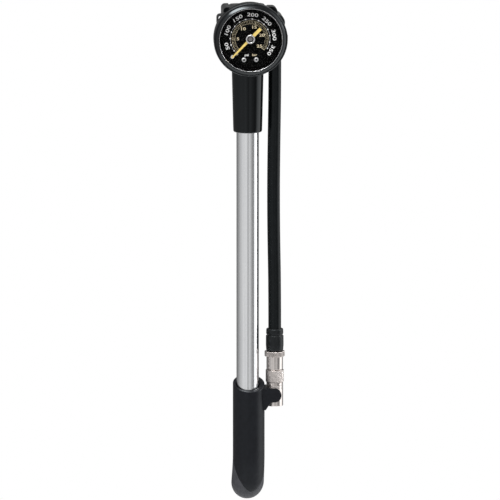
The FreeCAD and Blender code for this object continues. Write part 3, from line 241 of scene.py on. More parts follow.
finishes = {
    "gripBlack": plastic("gripBlack", (0.002, 0.002, 0.0034), (0.0044, 0.0044, 0.0066), 0.36, 0.46,
                         0.18, 0.010, 0.26),
    "capGrey": plastic("capGrey", (0.036, 0.036, 0.041), (0.050, 0.050, 0.057), 0.44, 0.56, 0.15,
                       0.010, 0.3),
    "headBlack": plastic("headBlack", (0.0008, 0.0008, 0.001), (0.0014, 0.0014, 0.0017), 0.10, 0.15,
                         0.6, 0.002, 0.33),
    "bezelBlack": plastic("bezelBlack", (0.001, 0.001, 0.0012), (0.002, 0.002, 0.0023), 0.13, 0.17,
                          0.5, 0.001, 0.44),
    "buttonGrey": plastic("buttonGrey", (0.012, 0.012, 0.013), (0.02, 0.02, 0.022), 0.35, 0.5,
                          0.2, 0.006, 0.4),
    "hubGrey": plastic("hubGrey", (0.10, 0.09, 0.09), (0.15, 0.14, 0.14), 0.3, 0.4, 0.3, 0.002),
    "hoseBlack": plastic("hoseBlack", (0.0014, 0.0018, 0.002), (0.003, 0.0036, 0.004), 0.22, 0.30,
                         0.25, 0.005, 0.22),
    "bootBlack": plastic("bootBlack", (0.003, 0.0034, 0.0038), (0.006, 0.0064, 0.007), 0.26, 0.34,
                         0.2, 0.008, 0.3),
    "dialBlack": plastic("dialBlack", (0.0008, 0.0008, 0.0008), (0.0014, 0.0014, 0.0014), 0.5, 0.6,
                         0.2, 0.002, 0.03),
    "printWhite": plastic("printWhite", (0.96, 0.96, 0.95), (0.99, 0.99, 0.98), 0.5, 0.6, 0.2, 0.001),
    "printGold": plastic("printGold", (0.68, 0.58, 0.38), (0.78, 0.68, 0.46), 0.5, 0.6, 0.2, 0.001),
    "needleGold": plastic("needleGold", (0.88, 0.65, 0.16), (0.94, 0.71, 0.22), 0.3, 0.4, 0.4, 0.002),
    "lipChrome": metal("lipChrome", (0.60, 0.60, 0.61), (0.68, 0.68, 0.69), 0.2, 0.28, 0.4, 0.001),
    "barrelSatin": metal("barrelSatin", (0.84, 0.85, 0.87), (0.92, 0.93, 0.94), 0.14, 0.19, 0.12,
                         0.0012, (1, 1, 0.01)),
    "nickelWarm": metal("nickelWarm", (0.68, 0.635, 0.61), (0.76, 0.715, 0.69), 0.13, 0.20, 0.3,
                        0.002),
    "nickelDark": metal("nickelDark", (0.50, 0.46, 0.44), (0.58, 0.54, 0.52), 0.2, 0.3, 0.3, 0.002),
    "steelBright": metal("steelBright", (0.80, 0.80, 0.81), (0.88, 0.88, 0.89), 0.2, 0.3, 0.2, 0.002),
    "screwSteel": metal("screwSteel", (0.96, 0.96, 0.96), (0.99, 0.99, 0.99), 0.4, 0.5, 0.3, 0.001),
    "rodPolished": metal("rodPolished", (0.66, 0.67, 0.68), (0.74, 0.75, 0.76), 0.12, 0.2, 0.15,
                         0.001, (1, 1, 0.02)),
    "brassBare": metal("brassBare", (0.62, 0.44, 0.18), (0.72, 0.53, 0.24), 0.2, 0.32, 0.25, 0.002),
    "clearLens": makeLens(),
}
print("materials made")


# almost straight on, a little from the left and above
camera = {
    "azimuth": -5.5,
    "elevation": 10.0,
    "distance": 12.0,         # metres
    "aim": (1.2, 0.0, 130.9),
    "width": 258.1,
    "sensor": 36,
}


def makeCamera():
    data = bpy.data.cameras.new("camera")
    item = bpy.data.objects.new("camera", data)
    bpy.context.scene.collection.objects.link(item)
    azimuth = math.radians(camera["azimuth"])
    elevation = math.radians(camera["elevation"])
    aim = Vector(camera["aim"]) * mm
    back = Vector((math.sin(azimuth) * math.cos(elevation), -math.cos(azimuth) * math.cos(elevation),
                   math.sin(elevation)))
    item.location = aim + back * camera["distance"]
    item.rotation_euler = (-back).to_track_quat("-Z", "Y").to_euler()
    data.sensor_width = camera["sensor"]
    data.lens = camera["sensor"] * camera["distance"] / (camera["width"] * mm)
    data.clip_end = 50
    bpy.context.scene.camera = item


makeCamera()
print("camera placed")

# one free cord between the swivel and the connector
hose = {
    "route": [(14.30, 232.0), (14.30, 214.0), (13.85, 186.0), (13.60, 162.0), (13.75, 138.0),
              (14.27, 112.0), (14.27, 89.2)],
    "diameter": 6.65,
    "length": 142.8,
}


def makeHose():
    curve = bpy.data.curves.new("hoseTube", "CURVE")
    curve.dimensions = "3D"
    curve.bevel_depth = hose["diameter"] / 2 * mm
    curve.bevel_resolution = 14
    curve.resolution_u = 24
    curve.use_fill_caps = True
    spline = curve.splines.new("NURBS")
    spline.points.add(len(hose["route"]) - 1)
    for point, (x, z) in zip(spline.points, hose["route"]):
        point.co = (x * mm, swivel[1] * mm, z * mm, 1)
    spline.order_u = 3
    spline.use_endpoint_u = True
    piece = bpy.data.objects.new("hoseTube", curve)
    bpy.context.scene.collection.objects.link(piece)
    return dress(piece, finishes["hoseBlack"], "hose_line", ["hose"])


barrel = {"wall": 1.2, "edge": 0.3, "around": 160}


def makeBarrel():
    low, high = boxMm("barrel_tube")
    outer = high[0]
    inner = outer - barrel["wall"]
    lathe("barrelTube", [(inner, low[2]), (outer, low[2], barrel["edge"]), (outer, high[2]),
                         (inner, high[2])],
          (0, 0, 0), finishes["barrelSatin"], "pump", ["barrel_tube"], around=barrel["around"])


# a shell with a slanted mouth, and a grey end that is parted from it in a soft V
grip = {
    "halfWidth": 8.2,
    "halfDepth": 8.8,
    "shift": 0.6,             # centre of the upper part, from the barrel's axis
    "straight": 24.0,         # the lower end leans below this height
    "lean": 2.6,
    "bulge": 0.3,
    "round": 9.2,
    "lowest": 0.32,
    "rim": 60.7,
    "rimTilt": 20.0,
    "edge": 0.2,
    "bore": 6.2,
    "floor": 26.5,
    "tip": 5.0,               # lowest height of the parting
    "tipTurn": 8.0,           # degrees round from the front
    "tipSoft": (19.0, 30.0),  # how softly it turns there, to the left and to the right
    "rise": 0.208,            # millimetres up for each degree round
    "capTop": 24.5,           # its level stretch behind
    "blend": 1.5,
    "seam": 0.16,
    "seamGap": 0.03,
    "seamDepth": 2.5,
    "around": 144,
    "rows": 40,
}


def gripPoint(angle, height, inset=0.0):          # a point of the outer form
    across = 1.0
    if height < grip["round"]:
        across = math.sqrt(max(0.0, 1 - (1 - height / grip["round"]) ** 2))
    depth = max(0.0, 1 - height / grip["straight"])
    lean = 3 * depth ** 2 - 2 * depth ** 3
    x = grip["shift"] * (1 - lean)
    y = grip["shift"] + grip["lean"] * lean
    halfWidth = (grip["halfWidth"] + grip["bulge"] * lean) * across
    return Vector((x + (halfWidth - inset) * math.cos(angle),
                   y + (grip["halfDepth"] * across - inset) * math.sin(angle), height))


def partingAt(angle):
    away = math.degrees(math.remainder(angle + math.pi / 2, 2 * math.pi)) - grip["tipTurn"]
    away = (away + 180) % 360 - 180               # degrees round from the tip
    soft = grip["tipSoft"][0] if away < 0 else grip["tipSoft"][1]
    found = grip["tip"] + grip["rise"] * (math.hypot(away, soft) - soft)
    blend = grip["blend"]                         # eases the line into the level stretch behind
    share = max(0.0, min(1.0, 0.5 + (grip["capTop"] - found) / (2 * blend)))
    return grip["capTop"] * (1 - share) + found * share - blend * share * (1 - share)


def seamRings(angles, partings, side):            # side is 1 above the parting and -1 below
    gap, seam = grip["seamGap"] * side, grip["seam"]
    rings = []
    for shift, inset in ((gap, grip["seamDepth"]), (gap, seam), (seam * side, seam * 0.25)):
        rings.append([gripPoint(angle, parting + shift, inset)
                      for angle, parting in zip(angles, partings)])
    return rings


def wallRings(angles, starts, ends, share):       # share eases the rows from start to end
    rings = []
    for row in range(grip["rows"] + 1):
        way = share(row / grip["rows"])
        rings.append([gripPoint(angle, start + (end - start) * way)
                      for angle, start, end in zip(angles, starts, ends)])
    return rings


def makeGrip():
    around, edge, seam = grip["around"], grip["edge"], grip["seam"]
    angles = [2 * math.pi * step / around for step in range(around)]
    partings = [partingAt(angle) for angle in angles]
    slope = math.tan(math.radians(grip["rimTilt"]))
    straight = grip["rim"]                        # a height at which the form is straight

    def rimAt(y):
        return grip["rim"] + slope * y

    levels = seamRings(angles, partings, 1)
    levels += wallRings(angles, [parting + seam * 1.6 for parting in partings],
                        [rimAt(gripPoint(angle, straight).y) - edge for angle in angles],
                        lambda row: row)
    for step in range(1, 5):
        turn = math.pi / 2 * step / 4
        ring = []
        for angle in angles:
            point = gripPoint(angle, straight, edge * (1 - math.cos(turn)))
            point.z = rimAt(point.y) - edge + edge * math.sin(turn)
            ring.append(point)
        levels.append(ring)
    innerEdge = edge * 0.6
    for step in range(0, 4):
        turn = math.pi / 2 * step / 3
        radius = grip["bore"] + innerEdge * (1 - math.sin(turn))
        ring = []
        for angle in angles:
            point = Vector((radius * math.cos(angle), radius * math.sin(angle), 0))
            point.z = rimAt(point.y) - innerEdge * (1 - math.cos(turn))
            ring.append(point)
        levels.append(ring)
    bore = grip["bore"]
    levels.append([Vector((bore * math.cos(angle), bore * math.sin(angle), grip["floor"]))
                   for angle in angles])
    stack("gripShell", levels, finishes["gripBlack"], "handle", ["handle_shell"], 40)

    levels = seamRings(angles, partings, -1)
    levels += wallRings(angles, [parting - seam * 1.6 for parting in partings],
                        [grip["lowest"]] * around, lambda row: math.sin(math.pi / 2 * row))
    stack("gripEnd", levels, finishes["capGrey"], "handle", ["end_cap"], 40)


# the round neck grows into a block with rounded corners
head = {
    "mouth": 7.45,
    "mouthEdge": 0.6,
    "top": 8.2,               # the neck's radius where the block begins
    "rise": 31.5,
    "blend": 11.0,
    "height": 34.0,
    "half": 9.3,
    "front": 7.5,
    "back": 10.0,
    "corner": 3.5,
    "neckCorner": 7.4,
    "edge": 0.7,
    "bore": 5.85,
    "boreEdge": 0.3,
    "boreDepth": 6.0,
    "quarter": 12,            # steps in a quarter turn
    "rows": 8,
}


def boxRing(left, right, front, back, corner, height):    # a rectangle with round corners
    ring = []
    quarter = head["quarter"]
    centres = [(right - corner, back - corner), (left + corner, back - corner),
               (left + corner, front + corner), (right - corner, front + corner)]
    for index, (x, y) in enumerate(centres):
        for step in range(quarter + 1):
            angle = math.pi / 2 * (index + step / quarter)
            ring.append(Vector((x + corner * math.cos(angle), y + corner * math.sin(angle), height)))
    return ring


def makeHead():
    base = boxMm("head_body")[0][2]
    neck, rows, corner = head["top"], head["rows"], head["neckCorner"]

    def circle(radius, height):                   # just short of round, so that no points meet
        return boxRing(-radius, radius, -radius, radius, radius * 0.999, height)

    bore, boreEdge = head["bore"], head["boreEdge"]
    levels = [circle(bore, base + head["boreDepth"]), circle(bore, base + boreEdge),
              circle(bore + boreEdge, base)]
    for step in range(5):
        turn = math.pi / 2 * step / 4
        levels.append(circle(head["mouth"] - head["mouthEdge"] * (1 - math.sin(turn)),
                             base + head["mouthEdge"] * (1 - math.cos(turn))))
    for step in range(1, rows + 1):
        share = step / rows
        levels.append(circle(head["mouth"] + (neck - head["mouth"]) * share,
                             base + head["rise"] * share))
    for step in range(rows + 1):
        share = step / rows
        ease = share * share * (3 - 2 * share)
        side = neck + (head["half"] - neck) * ease
        levels.append(boxRing(-side, side, -head["front"], neck + (head["back"] - neck) * ease,
                              corner + (head["corner"] - corner) * ease,
                              base + head["rise"] + head["blend"] * share))
    top = base + head["rise"] + head["height"]
    edge = head["edge"]
    for step in range(5):
        turn = math.pi / 2 * step / 4
        inset = edge * (1 - math.cos(turn))
        levels.append(boxRing(-head["half"] + inset, head["half"] - inset, -head["front"],
                              head["back"] - inset, head["corner"] - inset,
                              top - edge + edge * math.sin(turn)))
    stack("headShell", levels, finishes["headBlack"], "pump", ["head_body"], 40)


# heights run from the head's axis to the front
gauge = {
    "outer": 19.1,
    "back": 11.0,
    "front": 18.6,
    "lip": 16.0,
    "neck": 18.0,
    "lensFront": 17.2,
    "dial": 13.0,
    "ink": 0.03,
    "drum": 0.75,             # how far the drum behind the front ring is set in
    "drumDepth": 3.7,
    "groove": 0.3,
    "dome": 0.95,             # how far the face inside the front groove is set in
    "around": 192,
}


def makeBezel():
    outer, back, front, lip = gauge["outer"], gauge["back"], gauge["front"], gauge["lip"]
    drum, dome, groove = outer - gauge["drum"], outer - gauge["dome"], gauge["groove"]
    ring = back + gauge["drumDepth"]              # where the wide front ring begins
    lathe("bezelRing", [
        (gauge["neck"], back), (drum, back, 0.3), (drum, ring, 0.1), (drum - groove, ring + 0.2),
        (drum - groove, ring + 0.4), (outer, ring + 0.4, 0.3), (outer, front - 1.25, 0.45),
        (dome + 0.25, front - 1.1, 0.12), (dome + 0.12, front - 1.7), (dome, front - 1.7),
        (dome, front - 0.95, 0.25), (lip + 0.9, front - 0.05, 0.25), (lip + 0.62, front, 0.1),
        (lip + 0.5, front - 0.6, 0.1), (lip + 0.15, front - 0.95, 0.1),
        (lip, gauge["lensFront"]), (gauge["neck"], gauge["lensFront"])],
        (0, 0, dialZ), finishes["bezelBlack"], "pump", ["gauge_bezel"], "front", gauge["around"])
    lathe("lipRing", [
        (lip + 0.12, front - 0.9), (lip + 0.5, front - 0.9), (lip + 0.5, front - 0.32, 0.1),
        (lip + 0.3, front - 0.32, 0.12)],
        (0, 0, dialZ), finishes["lipChrome"], "pump", (), "front", gauge["around"])


# angles run clockwise from the top of the dial
dialPrint = {
    "psiStart": -145.3,       # where both scales would begin
    "psiStep": 0.757,         # degrees for one psi
    "psiTop": 350,
    "barStep": 10.98,         # degrees for one bar
    "barTop": 25,
    "zero": -135.8,           # the stop, where the needle rests
    "numberRadius": 12.4,
    "numberSize": 2.6,
    "numberWide": 1.5,
    "numberWeight": 0.012,
    "zeroRadius": 13.0,
    "zeroWide": 1.4,
    "dotRadius": 10.3,
    "dotSize": 0.36,
    "lineWidth": 0.08,
    "bandIn": 7.8,
    "bandOut": 9.4,
    "bandWidth": 0.1,
    "halfTick": 0.09,
    "fiveTick": 0.24,
    "zeroTick": 0.2,
    "digitRadius": 6.3,
    "digitSize": 2.15,
    "digitWide": 1.35,
    "digitWeight": 0.02,
    "digitZero": (-139, 10.4),
    "wordDrop": 8.5,
    "wordSize": 1.6,
    "wordShift": (-1.8, 2.3),
}


def dialPlace(angle, radius, upright=False):      # matrix of a spot on the dial
    centre = Vector((0, -(gauge["dial"] + gauge["ink"]) * mm, dialZ * mm))
    return (Matrix.Translation(centre) @ Matrix.Rotation(math.radians(angle), 4, "Y")
            @ Matrix.Translation((0, 0, radius * mm))
            @ Matrix.Rotation(math.radians(-angle if upright else 0), 4, "Y")
            @ Matrix.Rotation(math.pi / 2, 4, "X"))


def dialWord(name, text, size, place, material, wide=1.2, weight=0.02):
    curve = bpy.data.curves.new(name, "FONT")
    curve.body = text
    curve.size = size * mm
    curve.align_x = "CENTER"
    curve.align_y = "CENTER"
    curve.extrude = 0.01 * mm
    curve.offset = weight * size * mm
    curve.space_character = 1.02
    piece = bpy.data.objects.new(name, curve)
    bpy.context.scene.collection.objects.link(piece)
    piece.matrix_world = place @ Matrix.Diagonal((wide, 1, 1, 1))
    return dress(piece, material, "pump")


# flat ink, where each shape is a ring of (clock angle, radius) points on the dial
def inkMesh(name, shapes, material):
    points, faces = [], []
    level = gauge["dial"] + gauge["ink"]
    for shape in shapes:
        start = len(points)
        for angle, radius in shape:
            turn = math.radians(angle)
            points.append((radius * math.sin(turn), -level, dialZ + radius * math.cos(turn)))
        for angle, radius in shape:
            turn = math.radians(angle)
            points.append((radius * math.sin(turn), -level + 0.02, dialZ + radius * math.cos(turn)))
        count = len(shape)
        faces.append(tuple(range(start, start + count)))
        faces.append(tuple(range(start + count, start + 2 * count)))
        for index in range(count):
            nextIndex = (index + 1) % count
            faces.append((start + index, start + nextIndex, start + count + nextIndex,
                          start + count + index))
    return addMesh(name, points, faces, material, "pump")


def arcShapes(start, end, radius, width, steps=60):    # a thin arc as a row of small shapes
    shapes = []
    for step in range(steps):
        first = start + (end - start) * step / steps
        last = start + (end - start) * (step + 1) / steps
        shapes.append([(first, radius - width / 2), (last, radius - width / 2),
                       (last, radius + width / 2), (first, radius + width / 2)])
    return shapes


def tick(angle, low, high, width):
    def spread(radius):
        return math.degrees(width / 2 / radius)
    return [(angle - spread(low), low), (angle + spread(low), low),
            (angle + spread(high), high), (angle - spread(high), high)]


def dot(angle, radius, size, points=10):
    centre = Vector((radius * math.sin(math.radians(angle)), radius * math.cos(math.radians(angle))))
    shape = []
    for step in range(points):
        turn = 2 * math.pi * step / points
        spot = centre + Vector((math.sin(turn), math.cos(turn))) * size
        shape.append((math.degrees(math.atan2(spot.x, spot.y)), spot.length))
    return shape


def makeDial():
    look, zero = dialPrint, dialPrint["zero"]
    white, gold = finishes["printWhite"], finishes["printGold"]

    def psiAngle(value):
        return look["psiStart"] + look["psiStep"] * value

    def barAngle(value):
        return look["psiStart"] + look["barStep"] * value

    for value in range(50, look["psiTop"] + 1, 50):
        dialWord(f"psi{value}", str(value), look["numberSize"],
                 dialPlace(psiAngle(value), look["numberRadius"]), white, look["numberWide"],
                 look["numberWeight"])
    dialWord("psi0", "0", look["numberSize"], dialPlace(zero, look["zeroRadius"]), white,
             look["zeroWide"])
    for value in range(5, look["barTop"] + 1, 5):
        dialWord(f"bar{value}", str(value), look["digitSize"],
                 dialPlace(barAngle(value), look["digitRadius"], True), gold, look["digitWide"],
                 look["digitWeight"])
    dialWord("bar0", "0", look["digitSize"], dialPlace(*look["digitZero"], True), gold, 1.25, 0.03)
    words = dialPlace(180, look["wordDrop"], True)
    left, right = look["wordShift"]
    dialWord("psiWord", "psi", look["wordSize"], words @ Matrix.Translation((left * mm, 0, 0)), white)
    dialWord("barWord", "bar", look["wordSize"], words @ Matrix.Translation((right * mm, 0, 0)), gold)

    dots = [zero] + [psiAngle(value) for value in range(25, look["psiTop"] + 1, 25)]
    radius = look["dotRadius"]
    inkMesh("psiDots", [dot(angle, radius, look["dotSize"]) for angle in dots], white)
    inkMesh("psiLine", arcShapes(zero, dots[-1], radius, look["lineWidth"]), white)

    low, high, end = look["bandIn"], look["bandOut"], barAngle(look["barTop"])
    shapes = arcShapes(zero, end, low, look["bandWidth"])
    shapes += arcShapes(zero, end, high, look["bandWidth"])
    for half in range(2, 2 * look["barTop"] + 1):
        angle = barAngle(half / 2)
        if half % 10 == 0:
            shapes.append(tick(angle, low, high, look["fiveTick"]))
        else:
            shapes.append(tick(angle, low + 0.3, high, look["halfTick"]))
    shapes.append(tick(zero, low, high, look["zeroTick"]))
    inkMesh("barTicks", shapes, gold)


screw = {"socket": 0.4, "flat": 0.72, "soft": 0.4, "around": 48}    # shares of the head's radius


def makeScrews():                                 # a bright head round a socket, whose inside is a black plug as painted shade
    for side in ("left", "right"):
        low, high = boxMm("dial_screw_" + side)
        place = ((low[0] + high[0]) / 2, 0, (low[2] + high[2]) / 2)
        size, face, foot = (high[0] - low[0]) / 2, -low[1], -high[1]
        socket, flat = size * screw["socket"], size * screw["flat"]
        lathe("dialScrew" + side.capitalize(), [
            (socket, foot), (size, foot), (size, face - 0.4, 0.2), (flat, face, screw["soft"]),
            (size * 0.46, face, 0.08), (socket, face - 0.3)],
            place, finishes["screwSteel"], "pump", ["dial_screw_" + side], "front", screw["around"])
        # a black plug in the socket, painted shade for the recess
        lathe("dialSocketShade" + side.capitalize(), [
            (0, foot), (size * 0.41, foot), (size * 0.41, face - 0.4), (0, face - 0.45)],
            place, finishes["dialBlack"], "pump", (), "front", 32)


hub = {"radius": 2.45, "ring": 1.6, "bush": 1.35, "shaft": 0.6, "centre": 1.1, "back": 13.4,
       "level": 14.6, "front": 15.2}


def makeHub():                                    # ring, a black disc as painted shade in the gap, and centre, one inside the other
    ring, bush, shaft, centre = hub["ring"], hub["bush"], hub["shaft"], hub["centre"]
    back, level, front, place = hub["back"], hub["level"], hub["front"], (0, 0, dialZ)
    lathe("hubRing", [(shaft, back), (bush, back), (bush, level), (hub["radius"], level, 0.05),
                      (hub["radius"], front, 0.3), (ring, front, 0.2), (ring, level + 0.1),
                      (shaft, level + 0.1)],
          place, finishes["steelBright"], "pointer", ["needle_hub"], "front", 72)
    # a black disc in the gap between ring and centre, painted shade
    lathe("hubGapShade", [(0, level + 0.12), (ring - 0.02, level + 0.12), (ring - 0.02, level + 0.18),
                     (0, level + 0.18)],
          place, finishes["dialBlack"], "pointer", (), "front", 48)
    lathe("hubCentre", [(0, level + 0.2), (centre, level + 0.2), (centre, front - 0.1, 0.12),
                        (0, front - 0.05)],
          place, finishes["hubGrey"], "pointer", (), "front", 48)


connector = {
    "bootLow": 77.4,
    "bootHigh": 89.2,
    "boot": 4.6,
    "neck": 4.35,
    "bootGroove": 0.2,
    "flange": 5.25,
    "flangeHeight": 2.7,
    "ribs": 36,
    "ribDepth": 0.22,
    "polished": 4.28,
    "shoulder": 67.9,
    "bodyLow": 58.6,
    "knurl": 4.675,
    "knurlLow": 61.2,
    "knurlHigh": 67.7,
    "knurlCount": 30,
    "knurlRise": 1.0,         # diamonds for each millimetre up
    "knurlDepth": 0.16,
    "knurlRows": 56,
    "sleeve": 4.35,
    "sleeveLow": 48.8,
    "linesLow": 57.7,
    "lines": 4,
    "linePitch": 0.85,
    "lineDepth": 0.16,
    "thread": 3.85,
    "threadTop": 57.3,
    "core": 3.45,
}


def knurlRelief(angle, height, radius):           # diamonds from two sets of slanting grooves
    if radius < connector["sleeve"] + 0.1:
        return 0.0
    across = angle * connector["knurlCount"] / (2 * math.pi)
    along = height * connector["knurlRise"]
    first = abs(((across + along) % 1.0) - 0.5) * 2
    second = abs(((across - along) % 1.0) - 0.5) * 2
    return -connector["knurlDepth"] * max(0.0, 1 - min(1 - first, 1 - second) * 2.2)


def ribRelief(angle, height, radius):             # straight ribs round the flange's rim
    if radius < connector["flange"] - 0.25:
        return 0.0
    return -connector["ribDepth"] * (0.5 + 0.5 * math.cos(angle * connector["ribs"])) ** 2


def makeBoot():
    low, high = connector["bootLow"], connector["bootHigh"]
    boot, neck = connector["boot"], connector["neck"]
    groove = neck - connector["bootGroove"]
    lathe("bootSleeve", [
        (0, low), (neck, low, 0.9), (boot, low + 3.2, 6.0), (boot - 0.05, low + 8.1, 0.3),
        (groove, low + 8.3, 0.1), (groove - 0.05, low + 8.7, 0.2), (neck + 0.1, low + 9.2, 0.3),
        (neck, high, 0.5), (0, high)],
        connectorPlace, finishes["bootBlack"], "hose_line", ["hose_boot"], around=120)


def makeConnector():
    top = connector["bootLow"]
    foot = top - connector["flangeHeight"]
    flange, polished, core = connector["flange"], connector["polished"], connector["core"]
    lathe("flangeRing", [(0, foot), (flange, foot, 0.3), (flange, top, 0.3), (0, top)],
          connectorPlace, finishes["nickelDark"], "hose_line", ["connector_flange"], around=360,
          relief=ribRelief, sharp=50)
    low, shoulder = connector["bodyLow"], connector["shoulder"]
    lathe("polishedBody", [
        (0, low), (core - 0.05, low), (core - 0.05, shoulder), (polished, shoulder, 0.3),
        (polished, foot, 0.2), (0, foot)],
        connectorPlace, finishes["nickelWarm"], "hose_line", ["connector_body"], around=144)


def makeSleeve():
    low, high, sleeve = connector["knurlLow"], connector["knurlHigh"], connector["sleeve"]
    thread, threadTop, core = connector["thread"], connector["threadTop"], connector["core"]
    cut = sleeve - connector["lineDepth"]
    corners = [(thread, connector["sleeveLow"]), (sleeve, connector["sleeveLow"], 0.25),
               (sleeve, connector["linesLow"] - 0.1)]
    for line in range(connector["lines"]):        # fine turned lines under the knurl
        base = connector["linesLow"] + line * connector["linePitch"]
        corners += [(sleeve, base), (cut, base + 0.16), (cut, base + 0.34), (sleeve, base + 0.5)]
    corners += [(sleeve, low - 0.1), (sleeve - 0.3, low), (sleeve - 0.3, high - 0.2),
                (core, high - 0.2), (core, threadTop), (thread, threadTop)]
    lathe("chuckSleeve", corners, connectorPlace, finishes["nickelWarm"], "chuck", ["chuck_sleeve"],
          around=192)

    knurl, rows = connector["knurl"], connector["knurlRows"]
    inner = sleeve - 0.35
    corners = [(inner, low), (knurl - 0.35, low)]
    for row in range(rows + 1):
        chamfer = 0.25 if row in (0, rows) else 0
        corners.append((knurl - chamfer, low + 0.1 + (high - low - 0.2) * row / rows))
    corners += [(knurl - 0.35, high), (inner, high)]
    lathe("knurledRing", corners, connectorPlace, finishes["nickelDark"], "chuck", (), around=384,
          relief=knurlRelief, sharp=55)


# solids that are kept as they are, each with its finish and how far its edges are softened
kept = {
    "hose_clip": ("gripBlack", 0.5), "bleed_housing": ("headBlack", 0.3),
    "swivel_housing": ("headBlack", 0.3), "bleed_button": ("buttonGrey", 0.15),
    "bleed_pin": ("steelBright", 0), "bleed_spring": ("steelBright", 0),
    "banjo_bolt": ("nickelWarm", 0.12), "swivel_eye": ("headBlack", 0.25),
    "hose_ferrule": ("nickelWarm", 0), "gauge_case": ("bezelBlack", 0.2),
    "gauge_lens": ("clearLens", 0), "dial_plate": ("dialBlack", 0), "needle": ("needleGold", 0.06),
    "piston_rod": ("rodPolished", 0), "rod_guide": ("gripBlack", 0.15),
    "rod_anchor": ("brassBare", 0), "rod_screw": ("steelBright", 0),
    "piston_head": ("brassBare", 0), "valve_seat": ("brassBare", 0),
    "depressor_pin": ("brassBare", 0), "pinion": ("brassBare", 0), "sector_gear": ("brassBare", 0),
    "bourdon_link": ("brassBare", 0), "movement_back": ("brassBare", 0),
    "movement_front": ("brassBare", 0), "gauge_socket": ("brassBare", 0),
    "bourdon_tube": ("brassBare", 0), "check_spring": ("steelBright", 0),
}


bevelLook = {"segments": 3, "angle": 50}


def keepNodes():
    replaced = {"hose", "barrel_tube", "handle_shell", "end_cap", "head_body", "gauge_bezel",
                "needle_hub", "hose_boot", "connector_flange", "connector_body", "chuck_sleeve",
                "dial_screw_left", "dial_screw_right"}
    for name, node in frame["nodes"].items():
        if name in replaced:
            continue
        finish, edge = kept.get(name, ("bootBlack", 0))     # what isn't listed is a seal
        node.data.materials.clear()
        node.data.materials.append(finishes[finish])
        if edge:
            bevel = node.modifiers.new("softEdge", "BEVEL")
            bevel.width = edge * mm
            bevel.segments = bevelLook["segments"]
            bevel.limit_method = "ANGLE"
            bevel.angle_limit = math.radians(bevelLook["angle"])


hosePiece = makeHose()
makeBarrel()
makeGrip()
makeHead()
makeBezel()
makeDial()
makeScrews()
makeHub()
makeBoot()
makeConnector()
makeSleeve()
keepNodes()
print("pieces made")

# a soft room whose brightness changes with direction
studio = {
    "floor": -0.6,            # metres
    "floorReach": 1.2,
    "floorGrain": 40,
    "brightest": 3.0,         # as bright as the lists may go
    "glossShare": 0.06,       # how much of the white background gloss sees
    "round": [                # degrees round from the front towards +X, and brightness there
        (-180, 0.15), (-150, 0.12), (-125, 0.2), (-100, 0.38), (-80, 0.5), (-55, 0.66), (-33, 0.62),
        (-22, 0.76), (-12, 0.6), (-4, 0.38), (2, 0.38), (10, 0.6), (16, 0.66), (28, 0.42), (42, 0.26),
        (52, 0.16), (61, 0.16), (69, 0.9), (77, 1.6), (104, 1.7), (112, 0.8), (122, 0.3), (150, 0.3),
        (180, 0.15)],
    "upright": [              # height of the direction, from straight down to straight up
        (-1, 1.4), (-0.6, 1.2), (-0.4, 0.9), (-0.28, 1.0), (0.1, 1.0), (0.35, 1.1), (0.7, 1.6), (1, 1.8)],
    "lamps": [                # name, degrees round and up, distance, width, height, watts
        ("upperLamp", -22, 56, 2.0, 1.6, 0.5, 42),
        ("sideLamp", 84, 26, 2.0, 0.3, 1.2, 14)],
}


def roomNode(kind, operation=None):               # a node of the room's world
    node = bpy.context.scene.world.node_tree.nodes.new(kind)
    if operation:
        node.operation = operation
    return node


def roomLink(start, end):
    bpy.context.scene.world.node_tree.links.new(start, end)


def shade(value, low, high, points):              # brightness along directions, from a few points
    share = roomNode("ShaderNodeMapRange")
    share.inputs["From Min"].default_value = low
    share.inputs["From Max"].default_value = high
    roomLink(value, share.inputs["Value"])
    node = roomNode("ShaderNodeFloatCurve")       # its points lie between 0 and 1
    curve = node.mapping.curves[0]
    first, last = points[0][0], points[-1][0]
    spots = [((place - first) / (last - first), amount / studio["brightest"]) for place, amount in points]
    curve.points[0].location = spots[0]
    curve.points[1].location = spots[-1]
    for spot in spots[1:-1]:
        curve.points.new(*spot)
    for point in curve.points:
        point.handle_type = "VECTOR"
    node.mapping.update()
    roomLink(share.outputs["Result"], node.inputs["Value"])
    scaled = roomNode("ShaderNodeMath", "MULTIPLY")
    scaled.inputs[1].default_value = studio["brightest"]
    roomLink(node.outputs["Value"], scaled.inputs[0])
    return scaled.outputs["Value"]


def roomBrightness():
    place = roomNode("ShaderNodeTexCoord")
    parts = roomNode("ShaderNodeSeparateXYZ")
    roomLink(place.outputs["Generated"], parts.inputs["Vector"])
    front = roomNode("ShaderNodeMath", "MULTIPLY")
    front.inputs[1].default_value = -1
    roomLink(parts.outputs["Y"], front.inputs[0])
    angle = roomNode("ShaderNodeMath", "ARCTAN2")
    roomLink(parts.outputs["X"], angle.inputs[0])
    roomLink(front.outputs["Value"], angle.inputs[1])
    level = roomNode("ShaderNodeMath", "MULTIPLY")
    roomLink(shade(angle.outputs["Value"], -math.pi, math.pi, studio["round"]), level.inputs[0])
    roomLink(shade(parts.outputs["Z"], -1, 1, studio["upright"]), level.inputs[1])
    return level.outputs["Value"]


def backgroundShare():                            # 1 where a ray shows the white background
    rays = roomNode("ShaderNodeLightPath")
    seen = roomNode("ShaderNodeMath", "MAXIMUM")
    roomLink(rays.outputs["Is Camera Ray"], seen.inputs[0])
    roomLink(rays.outputs["Is Transmission Ray"], seen.inputs[1])
    gloss = roomNode("ShaderNodeMath", "MULTIPLY")
    gloss.inputs[1].default_value = studio["glossShare"]
    roomLink(rays.outputs["Is Glossy Ray"], gloss.inputs[0])
    both = roomNode("ShaderNodeMath", "MAXIMUM")
    roomLink(seen.outputs["Value"], both.inputs[0])
    roomLink(gloss.outputs["Value"], both.inputs[1])
    return both.outputs["Value"]


